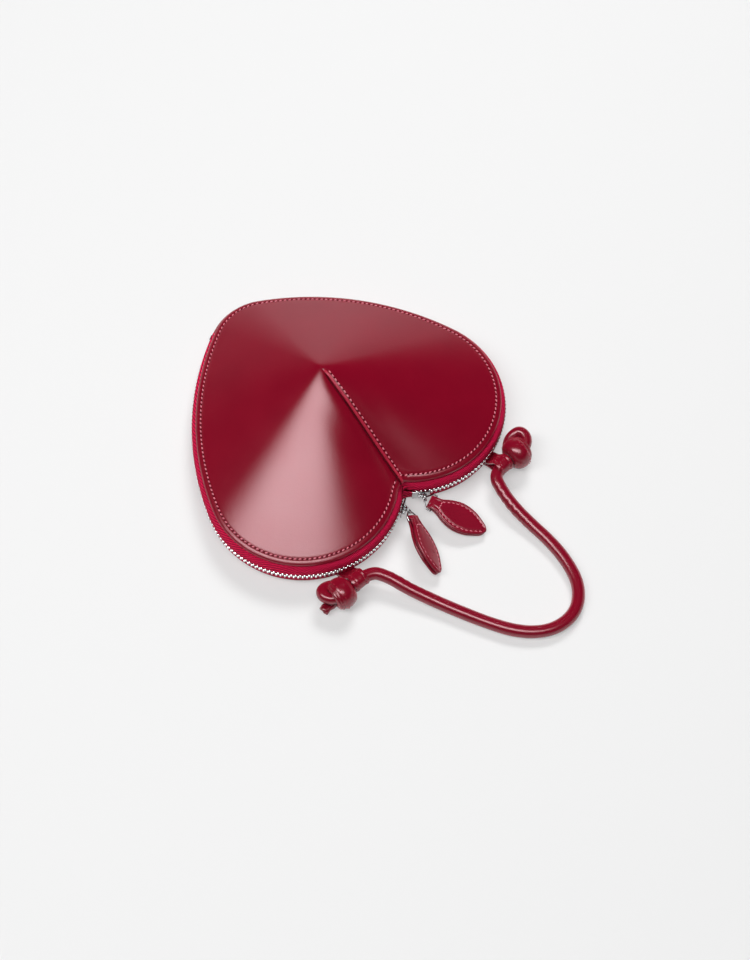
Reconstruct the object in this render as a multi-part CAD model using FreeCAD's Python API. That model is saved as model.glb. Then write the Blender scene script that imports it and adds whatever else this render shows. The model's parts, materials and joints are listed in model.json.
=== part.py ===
# Heart shaped clamshell purse with a zip round its edge, two zip pulls and a knotted rolled handle.
# Millimetres, +Z up. The purse lies on its flat back: z = 0 is the outer face of the back panel,
# x = 0 its plane of symmetry, and y = 0 the line through the centres of the heart's two lobes.
# Right is +X, as seen from the front with the notch on top.
import FreeCAD
import Part
import math
import os

V = FreeCAD.Vector
UP = V(0, 0, 1)
ACROSS = V(1, 0, 0)

# Heart outline of both panels
panel_width = 206.0
lobe_radius = 59.7
side_radius = 183.0
tip_radius = 35.0
tip_reach = 124.4
notch_radius = 9.0

# Front cone: the rim's height over the floor, and the peak above the rim and towards the tip
rim_height = 22.0
peak_rise = 44.6
peak_back = 32.2
# Scale of the heart and height of each ring of the cone, rounded off at the peak
cone_shares = ((1, 0), (0.12, 0.915), (0.065, 0.962), (0.025, 0.99), (0.008, 1))

# Leather, boards and linings
front_leather = 2.2
back_leather = 1.8
board_thickness = 1.2
lining_thickness = 0.6
lining_inset = 7.5
lap_thickness = 1.2
lap_width = 7.0
lap_from_peak = 7.0
lap_from_notch = 1.5

# Zip: the chain stands out from the panels' edge, halfway up the purse
chain_out = 2.5
chain_height = 12.0
row_gap = 1.2
tooth_height = 1.8
tooth_depth = 2.2
tape_thickness = 0.8
tape_tuck = 7.0
tuck_rise = 2.6
seam_gap = 0.1
# Course of a tape from under the panel's edge to the teeth: shares of its reach and of its drop
tape_shares = ((-0.25, 0), (0.2, 0.02), (0.62, 0.2), (0.9, 0.52), (1, 0.84), (1, 1))
stop_length = 3.5
stop_clearance = 0.4
stop_depth = 2.8
gusset_thickness = 1.4
gusset_gap = 0.3

# Sliders, parked beside the notch
park_across = 9.2
slider_length = 9.6
slider_height = 8.0
slider_plate = 1.1
slider_clearance = 0.25
web_thickness = 0.8
web_share = 0.6
bail_radius = 1.9
bail_wire = 0.55
bail_lift = 2.0

# Ring links, wire frames and pulls
link_clearance = 0.2
ring_radius = 2.5
ring_wire = 0.45
ring_turn_angle = 26.25
right_pull_turn_angle = 24.0
right_pull_tip = 5.8
right_pull_roll_angle = -50.0
left_pull_turn_angle = 31.0
left_pull_tip = 2.54
left_pull_roll_angle = 0.0
frame_wire = 0.5
frame_top = 3.2
frame_bottom = 11.2
frame_shoulder = 3.4
frame_length = 6.0
pull_start = 3.9
pull_length = 39.0
pull_width = 18.5
leaf_thickness = 1.3
leaf_clearance = 0.05
fold_length = 1.4
insert_start = 7.0
insert_inset = 0.8
# Half of the pull's leaf outline: shares of its length and of half its width
leaf_shares = ((0, 0.42), (0.14, 0.5), (0.32, 0.84), (0.5, 1), (0.7, 0.88), (0.88, 0.5))

# Handle and its strap loops, which stand outside the zip on each lobe
handle_radius = 3.95
sleeve_thickness = 1.1
core_clearance = 0.1
handle_reach = 101.0
floor_clearance = 0.1
loop_offset = 16.7
loop_stand = 8.8
loop_width = 9.0
strap_thickness = 1.2
loop_clearance = 0.3
tab_thickness = 1.6
tab_tuck = 9.7
tab_flat = 1.8
corner_share = 0.45
# Course of the handle from the right loop to the left one, chosen by hand: shares of the loops'
# distance across, of the handle's reach past them and of their height over the resting handle
handle_shares = (
    (0.817, 0, 1),
    (0.725, 0.109, 0.8),
    (0.658, 0.228, 0.45),
    (0.558, 0.356, 0.14),
    (0.458, 0.485, 0.02),
    (0.292, 0.693, 0),
    (0.1, 0.881, 0.008),
    (-0.167, 0.995, 0),
    (-0.467, 1, 0.008),
    (-0.692, 0.891, 0),
    (-0.792, 0.718, 0.008),
    (-0.815, 0.545, 0.008),
    (-0.797, 0.386, 0.09),
    (-0.785, 0.257, 0.42),
    (-0.797, 0.139, 0.755),
    (-0.842, 0, 1),
)

# Knots: a fat wrap round the handle's axis, a second turn on the side of the purse, and a cut tail
knot_gap = 1.5
knot_length = 13.5
knot_radius = 10.4
knot_clearance = 0.6
knot_neck = 4.2
knot_round_share = 0.86
turn_ring = 4.2
turn_tube = 3.6
turn_start = 11.0
turn_inwards = 3.0
turn_axis = V(0.55, 0.2, 0.85)
tail_radius = 3.4
tail_start = 10.0
tail_inwards = 1.0
tail_drop = 1.5
tail_reach = 13.0
tail_turn_inwards = 1.5
tail_turn_drop = 3.0

overrun = 5.0

# Values worked out from the sizes above
lobe_centre = V(panel_width / 2 - lobe_radius, 0, 0)
tip_centre = V(0, tip_radius - tip_reach, 0)
notch_centre = V(0, math.sqrt((lobe_radius + notch_radius) ** 2 - lobe_centre.x ** 2), 0)
peak_foot = V(0, -peak_back, 0)
chain_radius = lobe_radius + chain_out
park_angle = math.degrees(math.acos((park_across - lobe_centre.x) / chain_radius))
ring_angle = park_angle - ring_turn_angle
front_row_foot = chain_height + row_gap / 2
back_row_top = chain_height - row_gap / 2
handle_bore = handle_radius - sleeve_thickness
handle_floor = handle_radius + floor_clearance
loop_across = lobe_centre.x + loop_offset
loop_along = lobe_radius + chain_out + loop_stand
loop_height = knot_radius + knot_clearance
knot_start = loop_across + loop_width / 2 + knot_gap


def bearing(angle):
    """Level unit vector at an angle in degrees from +X."""
    return V(math.cos(math.radians(angle)), math.sin(math.radians(angle)), 0)


def angle_of(vector):
    return math.degrees(math.atan2(vector.y, vector.x))


def mirrored(shape):
    return shape.mirror(V(0, 0, 0), ACROSS)


def joined(shapes):
    whole = shapes[0]
    if len(shapes) > 1:
        whole = whole.fuse(shapes[1:]).removeSplitter()
    return whole


def side_centre():
    """Centre of the right side's arc, which touches the lobe's and the tip's arcs from outside."""
    to_lobe = side_radius - lobe_radius
    to_tip = side_radius - tip_radius
    line = tip_centre - lobe_centre
    span = line.Length
    along = (to_lobe ** 2 - to_tip ** 2 + span ** 2) / (2 * span)
    away = math.sqrt(to_lobe ** 2 - along ** 2)
    line.normalize()
    return lobe_centre + line * along + V(line.y, -line.x, 0) * away


def heart_arcs():
    """Arcs of the heart, anticlockwise from the tip: centre, radius, bulge, first and last angle."""
    side = side_centre()
    side_left = V(-side.x, side.y, 0)
    lobe_left = V(-lobe_centre.x, 0, 0)
    low = angle_of(tip_centre - side)
    high = angle_of(lobe_centre - side)
    notch = angle_of(notch_centre - lobe_centre)
    return {
        "tip": (tip_centre, tip_radius, 1, -180 - low, low),
        "right_side": (side, side_radius, 1, low, high),
        "right_lobe": (lobe_centre, lobe_radius, 1, high, notch),
        "notch": (notch_centre, notch_radius, -1, notch - 180, -notch),
        "left_lobe": (lobe_left, lobe_radius, 1, 180 - notch, 180 - high),
        "left_side": (side_left, side_radius, 1, 180 - high, 180 - low),
    }


ARCS = heart_arcs()
ZIP_ARCS = [arc for name, arc in ARCS.items() if name != "tip"]


def heart_wire(out, z, share=1):
    """Heart outline, moved outwards, at a height, and scaled about the foot of the peak."""
    edges = []
    for centre, radius, bulge, first, last in ARCS.values():
        middle = peak_foot + (centre - peak_foot) * share + UP * z
        reach = (radius + bulge * out) * share
        ends = [middle + bearing(a) * reach for a in (first, (first + last) / 2, last)]
        edges.append(Part.Arc(*ends).toShape())
    return Part.Wire(edges)


def heart_plate(out, low, high):
    return Part.Face(heart_wire(out, low)).extrude(UP * (high - low))


def cone(lift):
    """Solid heart shaped cone under the front's outer face, moved up or down."""
    rings = [heart_wire(0, rim_height + lift + peak_rise * rise, scale) for scale, rise in cone_shares]
    return Part.makeLoft(rings, True, True)


def cone_layer(depth, thickness, inset):
    """Layer of even upright thickness under the front's outer face, kept inside the edge."""
    layer = cone(-depth).cut(cone(-depth - thickness))
    top = rim_height + peak_rise + overrun
    return layer.common(heart_plate(-inset, 0, top))


def band(section, arcs):
    """Solid whose section, in steps outwards and heights, is carried along arcs of the heart."""
    spans = []
    for centre, radius, bulge, first, last in arcs:
        points = [centre + bearing(first) * (radius + bulge * out) + UP * z for out, z in section]
        face = Part.Face(Part.makePolygon(points + points[:1]))
        turn = UP if last > first else -UP
        span = face.revolve(centre, turn, abs(last - first))
        if span.Volume < 0:
            span.reverse()
        spans.append(span)
    return joined(spans)


def box_section(out_low, out_high, low, high):
    return [(out_low, low), (out_high, low), (out_high, high), (out_low, high)]


def strip_section(line, thickness, side):
    """Closed section of a strip along a line, with its thickness to the left (1) or right (-1)."""
    inner = []
    for i, (out, z) in enumerate(line):
        before = line[max(i - 1, 0)]
        after = line[min(i + 1, len(line) - 1)]
        run = math.hypot(after[0] - before[0], after[1] - before[1])
        normal = (-(after[1] - before[1]) / run * side, (after[0] - before[0]) / run * side)
        inner.append((out + normal[0] * thickness, z + normal[1] * thickness))
    return list(line) + inner[::-1]


def tape_line(root, end, reach):
    return [(reach * out, root + (end - root) * drop) for out, drop in tape_shares]


# Panels, boards and linings
def front_panel():
    edge = heart_plate(0, rim_height - front_leather, rim_height)
    return cone(0).fuse(edge).cut(cone(-front_leather)).removeSplitter()


def seam_lap():
    """Turned edge of the left half, laid over the seam from the notch to the peak."""
    start = V(-lap_width, lap_from_peak - peak_back, 0)
    notch_edge = notch_centre.y - notch_radius
    length = notch_edge - lap_from_notch - start.y
    strip = Part.makeBox(lap_width, length, rim_height + peak_rise + overrun, start)
    return cone(lap_thickness).cut(cone(0)).common(strip)


def back_layer(depth, thickness, inset):
    return heart_plate(-inset, depth, depth + thickness)


# Zip tapes, rows of teeth, end stops and the gusset at the tip
def front_strip(end, thickness, arcs):
    """Strip from under the front panel's edge, out and down to a height."""
    root = rim_height - front_leather - seam_gap
    line = [(-tape_tuck, root + tuck_rise)] + tape_line(root, end, chain_out + thickness / 2)
    return band(strip_section(line, thickness, -1), arcs)


def back_strip(end, thickness, arcs):
    """Strip from on top of the back panel's edge, out and up to a height."""
    line = [(-tape_tuck, back_leather)] + tape_line(back_leather, end, chain_out + thickness / 2)
    return band(strip_section(line, thickness, 1), arcs)


def past_stops(length):
    """Zip arcs without the stretch next to the tip at each end."""
    step = math.degrees(length / (side_radius + chain_out))
    arcs = dict(ARCS)
    del arcs["tip"]
    centre, radius, bulge, first, last = arcs["right_side"]
    arcs["right_side"] = (centre, radius, bulge, first + step, last)
    centre, radius, bulge, first, last = arcs["left_side"]
    arcs["left_side"] = (centre, radius, bulge, first, last - step)
    return list(arcs.values())


def teeth_row(foot):
    section = box_section(
        chain_out - tooth_depth / 2, chain_out + tooth_depth / 2, foot, foot + tooth_height)
    return band(section, past_stops(stop_length + stop_clearance))


def end_stops():
    step = math.degrees(stop_length / (side_radius + chain_out))
    half = row_gap / 2 + tooth_height - seam_gap
    section = box_section(
        chain_out - stop_depth / 2, chain_out + stop_depth / 2, chain_height - half, chain_height + half)
    centre, radius, bulge, first, last = ARCS["right_side"]
    right = band(section, [(centre, radius, bulge, first, first + step)])
    return Part.Compound([right, mirrored(right)])


# Sliders
def lobe_ring(low_radius, high_radius, low, high, half_angle):
    """Piece of a ring about the right lobe's centre, at the place where the slider is parked."""
    arc = (lobe_centre, 0, 1, park_angle - half_angle, park_angle + half_angle)
    return band(box_section(low_radius, high_radius, low, high), [arc])


slider_half_angle = math.degrees(slider_length / 2 / chain_radius)
plate_inner_face = tooth_depth / 2 + slider_clearance
slider_face = chain_radius + plate_inner_face + slider_plate
bail_height = chain_height + bail_lift


def slider():
    low = chain_height - slider_height / 2
    high = chain_height + slider_height / 2
    near = chain_radius - plate_inner_face
    far = chain_radius + plate_inner_face
    outer_plate = lobe_ring(far, slider_face, low, high, slider_half_angle)
    inner_plate = lobe_ring(near - slider_plate, near, low, high, slider_half_angle)
    web_low = chain_height - web_thickness / 2
    web = lobe_ring(near, far, web_low, web_low + web_thickness, slider_half_angle * web_share)
    return joined([outer_plate, inner_plate, web])


def bail():
    foot = lobe_centre + bearing(park_angle) * slider_face + UP * bail_height
    hoop = Part.makeTorus(bail_radius, bail_wire, foot, UP)
    inside = Part.makeCylinder(slider_face, rim_height, lobe_centre)
    return hoop.cut(inside)


# Ring links, frames and pulls, placed at the right slider
ring_way = bearing(ring_angle)
bail_bar = lobe_centre + bearing(park_angle) * (slider_face + bail_radius) + UP * bail_height
ring_hold = bail_wire + ring_wire + link_clearance
ring_hold_slant = ring_hold / math.cos(math.radians(ring_turn_angle))
ring_centre = bail_bar + ring_way * (ring_radius - ring_hold_slant)
frame_hold = ring_wire + frame_wire + link_clearance
leaf_low = frame_wire + leaf_clearance


def ring_link():
    return Part.makeTorus(ring_radius, ring_wire, ring_centre, ring_way.cross(UP))


class Pull:
    """Pull that hangs at an angle to the ring link, rolled about its length."""

    def __init__(self, turn_angle, tip_height, roll_angle):
        level = bearing(ring_angle - turn_angle)
        hold_slant = frame_hold / math.cos(math.radians(turn_angle))
        self.pivot = ring_centre + ring_way * (ring_radius - hold_slant)
        droop = math.asin((bail_height - tip_height) / (pull_start + pull_length))
        self.way = level * math.cos(droop) - UP * math.sin(droop)
        self.side = FreeCAD.Rotation(self.way, roll_angle).multVec(V(-level.y, level.x, 0))
        self.normal = self.way.cross(self.side)

    def point(self, along, sideways, height=0):
        return self.pivot + self.way * along + self.side * sideways + self.normal * height

    def frame(self):
        top = frame_top / 2
        bottom = frame_bottom / 2
        corners = [(0, top), (frame_shoulder, bottom), (frame_length, bottom)]
        corners += [(along, -sideways) for along, sideways in corners[::-1]]
        points = [self.point(*corner) for corner in corners]
        pieces = []
        for start, end in zip(points, points[1:] + points[:1]):
            pieces.append(Part.makeCylinder(frame_wire, (end - start).Length, start, end - start))
            pieces.append(Part.makeSphere(frame_wire, start))
        return joined(pieces)

    def leaf(self, low, thickness, inset=0):
        """One layer: a leaf with a straight neck, at a height over the pull's middle plane."""
        half = pull_width / 2 - inset
        length = pull_length - inset
        side = [(along * length, across * half) for along, across in leaf_shares]
        curve = side + [(length, 0)] + [(along, -across) for along, across in side[::-1]]
        points = [self.point(pull_start + along, across, low) for along, across in curve]
        rim = Part.BSplineCurve()
        rim.interpolate(points)
        neck = Part.LineSegment(points[-1], points[0])
        face = Part.Face(Part.Wire([rim.toShape(), neck.toShape()]))
        return face.extrude(self.normal * thickness)

    def past_neck(self, start):
        """Block over all of the pull that is further along than a start."""
        size = pull_length + pull_width
        block = Part.makeBox(size, size, size)
        turn = FreeCAD.Rotation(self.way, self.side, self.normal, "XYZ")
        block.Placement = FreeCAD.Placement(self.point(start, -size / 2, -size / 2), turn)
        return block

    def front_leaf(self):
        """Front leaf, with the fold of its neck round the frame's bar."""
        fold = self.leaf(-leaf_low, 2 * leaf_low).cut(self.past_neck(pull_start + fold_length))
        return joined([self.leaf(leaf_low, leaf_thickness), fold])

    def back_leaf(self):
        return self.leaf(-leaf_low - leaf_thickness, leaf_thickness)

    def insert(self):
        return self.leaf(-leaf_low, 2 * leaf_low, insert_inset).common(self.past_neck(insert_start))

    def pieces(self):
        return {
            "pull_frame": self.frame(),
            "pull_front_leaf": self.front_leaf(),
            "pull_insert": self.insert(),
            "pull_back_leaf": self.back_leaf(),
        }


# Handle, strap loops and knots
def handle_route():
    """Points from the right knot to the left one."""
    points = [V(knot_start, loop_along, loop_height)]
    for across, reach, lift in handle_shares:
        height = handle_floor + (loop_height - handle_floor) * lift
        points.append(V(loop_across * across, loop_along + handle_reach * reach, height))
    return points + [V(-knot_start, loop_along, loop_height)]


def rounded_path(points):
    """Straight runs joined by tangent arcs as large as the runs allow; prints the radii."""
    edges = []
    radii = []
    start = points[0]
    for before, corner, after in zip(points, points[1:], points[2:]):
        into = corner - before
        out = after - corner
        reach = corner_share * min(into.Length, out.Length)
        turn = into.getAngle(out)
        radius = reach / math.tan(turn / 2)
        radii.append(round(radius, 1))
        into.normalize()
        out.normalize()
        first = corner - into * reach
        last = corner + out * reach
        inward = out - into
        inward.normalize()
        middle = corner + inward * (math.hypot(radius, reach) - radius)
        edges.append(Part.LineSegment(start, first).toShape())
        edges.append(Part.Arc(first, middle, last).toShape())
        start = last
    edges.append(Part.LineSegment(start, points[-1]).toShape())
    print("handle bend radii", radii)
    return Part.Wire(edges)


def tube(path, radius):
    start = path.Edges[0].valueAt(path.Edges[0].FirstParameter)
    way = path.Edges[0].tangentAt(path.Edges[0].FirstParameter)
    ring = Part.Wire(Part.makeCircle(radius, start, way))
    return path.makePipeShell([ring], True, False)


def strap_loop():
    """Strap that comes out from under the zip and goes round the handle."""
    inner = handle_radius + loop_clearance
    outer = inner + strap_thickness
    side = V(loop_across - loop_width / 2, 0, 0)
    centre = side + V(0, loop_along, loop_height)
    foot = loop_height - outer + tab_thickness / 2
    line = [(lobe_radius - tab_tuck, 0), (lobe_radius + tab_flat, 0), (loop_along, foot - tab_thickness / 2)]
    section = strip_section(line, tab_thickness, 1)
    points = [side + V(0, y, z) for y, z in section]
    tab = Part.Face(Part.makePolygon(points + points[:1])).extrude(ACROSS * loop_width)
    roll = Part.makeCylinder(outer, loop_width, centre, ACROSS)
    bore = Part.makeCylinder(inner, loop_width + 2 * overrun, centre - ACROSS * overrun, ACROSS)
    purse = heart_plate(0, -overrun, rim_height)
    return joined([roll, tab]).cut(bore).cut(purse)


def knot():
    """Wrap about the handle's axis with a second turn and a cut tail, outside the right loop."""
    axis = V(knot_start, loop_along, loop_height)
    middle = knot_length / 2
    waist = knot_radius * knot_round_share
    quarter = middle / 2

    def at(along, radius):
        return axis + ACROSS * along + UP * radius

    crest = at(middle, knot_radius)
    rise = Part.Arc(at(0, knot_neck), at(quarter, waist), crest).toShape()
    fall = Part.Arc(crest, at(knot_length - quarter, waist), at(knot_length, knot_neck)).toShape()
    close = Part.makePolygon([at(knot_length, knot_neck), at(knot_length, 0), at(0, 0), at(0, knot_neck)])
    wrap = Part.Face(Part.Wire([rise, fall] + close.Edges)).revolve(axis, ACROSS, 360)
    turn = Part.makeTorus(turn_ring, turn_tube, axis + V(turn_start, -turn_inwards, 0), turn_axis)
    tail_foot = axis + V(tail_start, -tail_inwards, -tail_drop)
    tail_way = V(tail_reach, -tail_turn_inwards, -tail_turn_drop)
    tail = Part.makeCylinder(tail_radius, tail_way.Length, tail_foot, tail_way)
    return joined([wrap, turn, tail])


def build():
    """All pieces by name."""
    path = rounded_path(handle_route())
    outside = tube(path, handle_radius)
    core = tube(path, handle_bore - core_clearance)
    print("handle length", round(path.Length, 1))
    print("handle volume over section times length",
          round(outside.Volume / (math.pi * handle_radius ** 2 * path.Length), 4))
    lined = front_leather + board_thickness
    pieces = {
        "back_panel": back_layer(0, back_leather, 0),
        "back_board": back_layer(back_leather, board_thickness, lining_inset),
        "back_lining": back_layer(back_leather + board_thickness, lining_thickness, lining_inset),
        "back_zip_tape": back_strip(back_row_top - tooth_height, tape_thickness, ZIP_ARCS),
        "back_zip_teeth": teeth_row(back_row_top - tooth_height),
        "zip_end_stops": end_stops(),
        "tip_gusset_back_half": back_strip(
            chain_height - gusset_gap / 2, gusset_thickness, [ARCS["tip"]]),
        "front_panel": front_panel(),
        "seam_lap": seam_lap(),
        "front_board": cone_layer(front_leather, board_thickness, lining_inset),
        "front_lining": cone_layer(lined, lining_thickness, lining_inset),
        "front_zip_tape": front_strip(front_row_foot + tooth_height, tape_thickness, ZIP_ARCS),
        "front_zip_teeth": teeth_row(front_row_foot),
        "tip_gusset_front_half": front_strip(
            chain_height + gusset_gap / 2, gusset_thickness, [ARCS["tip"]]),
        "handle_sleeve": outside.cut(tube(path, handle_bore)),
        "handle_core": core,
    }
    paired = {
        "slider": slider(),
        "slider_bail": bail(),
        "ring_link": ring_link(),
        "handle_loop": strap_loop(),
        "handle_knot": knot(),
    }
    for name, shape in paired.items():
        pieces["right_" + name] = shape
        pieces["left_" + name] = mirrored(shape)
    for name, shape in Pull(right_pull_turn_angle, right_pull_tip, right_pull_roll_angle).pieces().items():
        pieces["right_" + name] = shape
    for name, shape in Pull(left_pull_turn_angle, left_pull_tip, left_pull_roll_angle).pieces().items():
        pieces["left_" + name] = mirrored(shape)
    return pieces


os.makedirs("parts", exist_ok=True)
for name, shape in build().items():
    shape.exportStep("parts/" + name + ".step")
    print(name, len(shape.Solids), "valid" if shape.isValid() else "INVALID", round(shape.Volume, 1))
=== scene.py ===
import json
import math

import bmesh
import bpy
from bpy.props import FloatProperty, FloatVectorProperty, PointerProperty
from mathutils import Matrix, Vector, noise
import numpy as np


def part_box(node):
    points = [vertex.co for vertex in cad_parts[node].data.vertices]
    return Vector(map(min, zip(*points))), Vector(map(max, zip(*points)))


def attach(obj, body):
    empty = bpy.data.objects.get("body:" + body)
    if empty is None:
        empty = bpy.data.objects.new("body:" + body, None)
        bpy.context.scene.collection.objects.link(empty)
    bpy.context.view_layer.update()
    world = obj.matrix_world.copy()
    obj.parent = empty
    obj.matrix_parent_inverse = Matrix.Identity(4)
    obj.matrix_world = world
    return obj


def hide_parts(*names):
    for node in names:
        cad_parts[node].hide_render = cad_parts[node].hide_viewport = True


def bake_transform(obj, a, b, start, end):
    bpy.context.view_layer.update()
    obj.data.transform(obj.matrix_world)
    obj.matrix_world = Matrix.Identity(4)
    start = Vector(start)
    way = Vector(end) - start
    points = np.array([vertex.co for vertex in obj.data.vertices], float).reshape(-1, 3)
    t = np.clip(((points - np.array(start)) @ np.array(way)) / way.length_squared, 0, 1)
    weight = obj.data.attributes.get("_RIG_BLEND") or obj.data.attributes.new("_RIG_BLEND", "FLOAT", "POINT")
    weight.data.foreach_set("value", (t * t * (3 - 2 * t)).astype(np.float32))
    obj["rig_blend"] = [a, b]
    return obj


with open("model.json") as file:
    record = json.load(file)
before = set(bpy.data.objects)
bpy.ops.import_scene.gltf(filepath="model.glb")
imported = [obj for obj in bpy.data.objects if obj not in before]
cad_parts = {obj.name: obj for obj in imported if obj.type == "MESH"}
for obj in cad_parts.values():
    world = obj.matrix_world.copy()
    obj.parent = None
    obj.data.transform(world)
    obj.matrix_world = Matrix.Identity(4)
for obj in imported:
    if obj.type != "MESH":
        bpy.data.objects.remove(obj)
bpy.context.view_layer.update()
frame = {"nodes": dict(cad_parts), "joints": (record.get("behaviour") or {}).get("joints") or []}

bl_info = {
    "name": "Heart purse",
    "version": (1, 0, 0),
    "blender": (4, 5, 0),
    "location": "3D View > Sidebar > Purse",
    "description": "Models the leather, zip and handle of a heart shaped purse over its frame",
    "category": "Object",
}

UP = Vector((0, 0, 1))
ACROSS = Vector((1, 0, 0))
SIDES = {"right": 1, "left": -1}
# Lengths and angles under this count as none
TINY = 1e-6

# Places read from the frame
PANEL_LOW, PANEL_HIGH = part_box("front_panel")
JOINTS = {joint["name"]: joint for joint in frame["joints"]}
HANDLE_PIVOT = Vector((0, *JOINTS["handle_swing"]["pos_m"][1:]))
GUSSET_PIVOT = Vector(JOINTS["front_open"]["pos_m"])
LOOP_LOW, LOOP_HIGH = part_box("right_handle_loop")
LOOP_ACROSS = (LOOP_LOW.x + LOOP_HIGH.x) / 2
SLIDER_LOW, SLIDER_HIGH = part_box("right_slider")
# Start of each knot, across from the middle
KNOT_START = 0.066

# Heart outline and cone, in metres, as in the part
LOBE_RADIUS = PANEL_HIGH.y
SIDE_RADIUS = 0.183
TIP_RADIUS = 0.035
NOTCH_RADIUS = 0.009
PEAK_BACK = 0.0322
LEATHER = 0.0022
RIM = PANEL_LOW.z + LEATHER
PEAK_FOOT = Vector((0, -PEAK_BACK, 0))
PEAK_RISE = PANEL_HIGH.z - RIM
PEAK_ROUND_SHARE = 0.025
TOOTH_DEPTH = 0.0022
CHAIN_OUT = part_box("front_zip_teeth")[1].x - TOOTH_DEPTH / 2 - PANEL_HIGH.x
CHAIN_HEIGHT = GUSSET_PIVOT.z

# Steps of the mesh along each arc of the outline
TIP_STEPS = 20
SIDE_STEPS = 24
LOBE_STEPS = 64
NOTCH_STEPS = 36

# Heart's notch, drawn in and lifted, and the turned edge, bulge and groove along the seam
NOTCH_DIP = 0.0016
NOTCH_SPREAD = 0.0034
NOTCH_FADE = 0.008
NOTCH_LIFT = 0.0014
FOLD_RISE = 0.0007
FOLD_FLAT = 0.001
FOLD_FADE = 0.005
FOLD_START = 0.002
FOLD_FULL = 0.008
SHOULDER_RISE = 0.0022
SHOULDER_WIDTH = 0.016
SHOULDER_FULL = 0.026
SHOULDER_LENGTH = 0.07
GROOVE_DEPTH = 0.0006
GROOVE_FLAT = 0.0005
GROOVE_FADE = 0.0014

# Sides and rings of one stitch's mesh
STITCH_SIDES = 6
STITCH_RINGS = 5


def bearing(angle):
    """Level unit vector at an angle from +X."""
    return Vector((math.cos(angle), math.sin(angle), 0))


def heading(vector):
    """Angle of a vector from +X, seen from above."""
    return math.atan2(vector.y, vector.x)


def smooth(low, high, value):
    """Rise from 0 at the low value to 1 at the high one."""
    share = min(max((value - low) / (high - low), 0), 1)
    return share * share * (3 - 2 * share)


def along_table(table, place):
    """Height of a smooth curve through the points of a table, by cubic steps."""
    for i in range(len(table) - 1):
        if place <= table[i + 1][0]:
            break
    (x0, y0), (x1, y1) = table[i], table[i + 1]
    before = table[max(i - 1, 0)]
    after = table[min(i + 2, len(table) - 1)]
    t = (place - x0) / (x1 - x0)
    slope0 = (y1 - before[1]) / (x1 - before[0]) * (x1 - x0)
    slope1 = (after[1] - y0) / (after[0] - x0) * (x1 - x0)
    rise = y1 - y0
    square = 3 * rise - 2 * slope0 - slope1
    cube = slope0 + slope1 - 2 * rise
    return y0 + slope0 * t + square * t ** 2 + cube * t ** 3


class Arc:
    """One arc of the outline; bulge is 1 where it curves outwards and -1 in the notch."""

    def __init__(self, centre, radius, bulge, first, last, steps):
        self.centre = centre
        self.radius = radius
        self.bulge = bulge
        self.first = first
        self.last = last
        self.steps = steps

    def point(self, angle, out=0):
        return self.centre + bearing(angle) * (self.radius + self.bulge * out)

    def crosses(self, origin, way):
        """Distances along a ray at which it meets the arc."""
        gap = origin - self.centre
        half = gap.dot(way)
        root = half * half - gap.length_squared + self.radius ** 2
        if root < 0:
            return []
        found = []
        for distance in (-half - math.sqrt(root), -half + math.sqrt(root)):
            angle = heading(origin + way * distance - self.centre)
            middle = (self.first + self.last) / 2
            away = (angle - middle + math.pi) % (2 * math.pi) - math.pi
            if distance > 0 and abs(away) <= abs(self.last - self.first) / 2 + TINY:
                found.append(distance)
        return found


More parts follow.
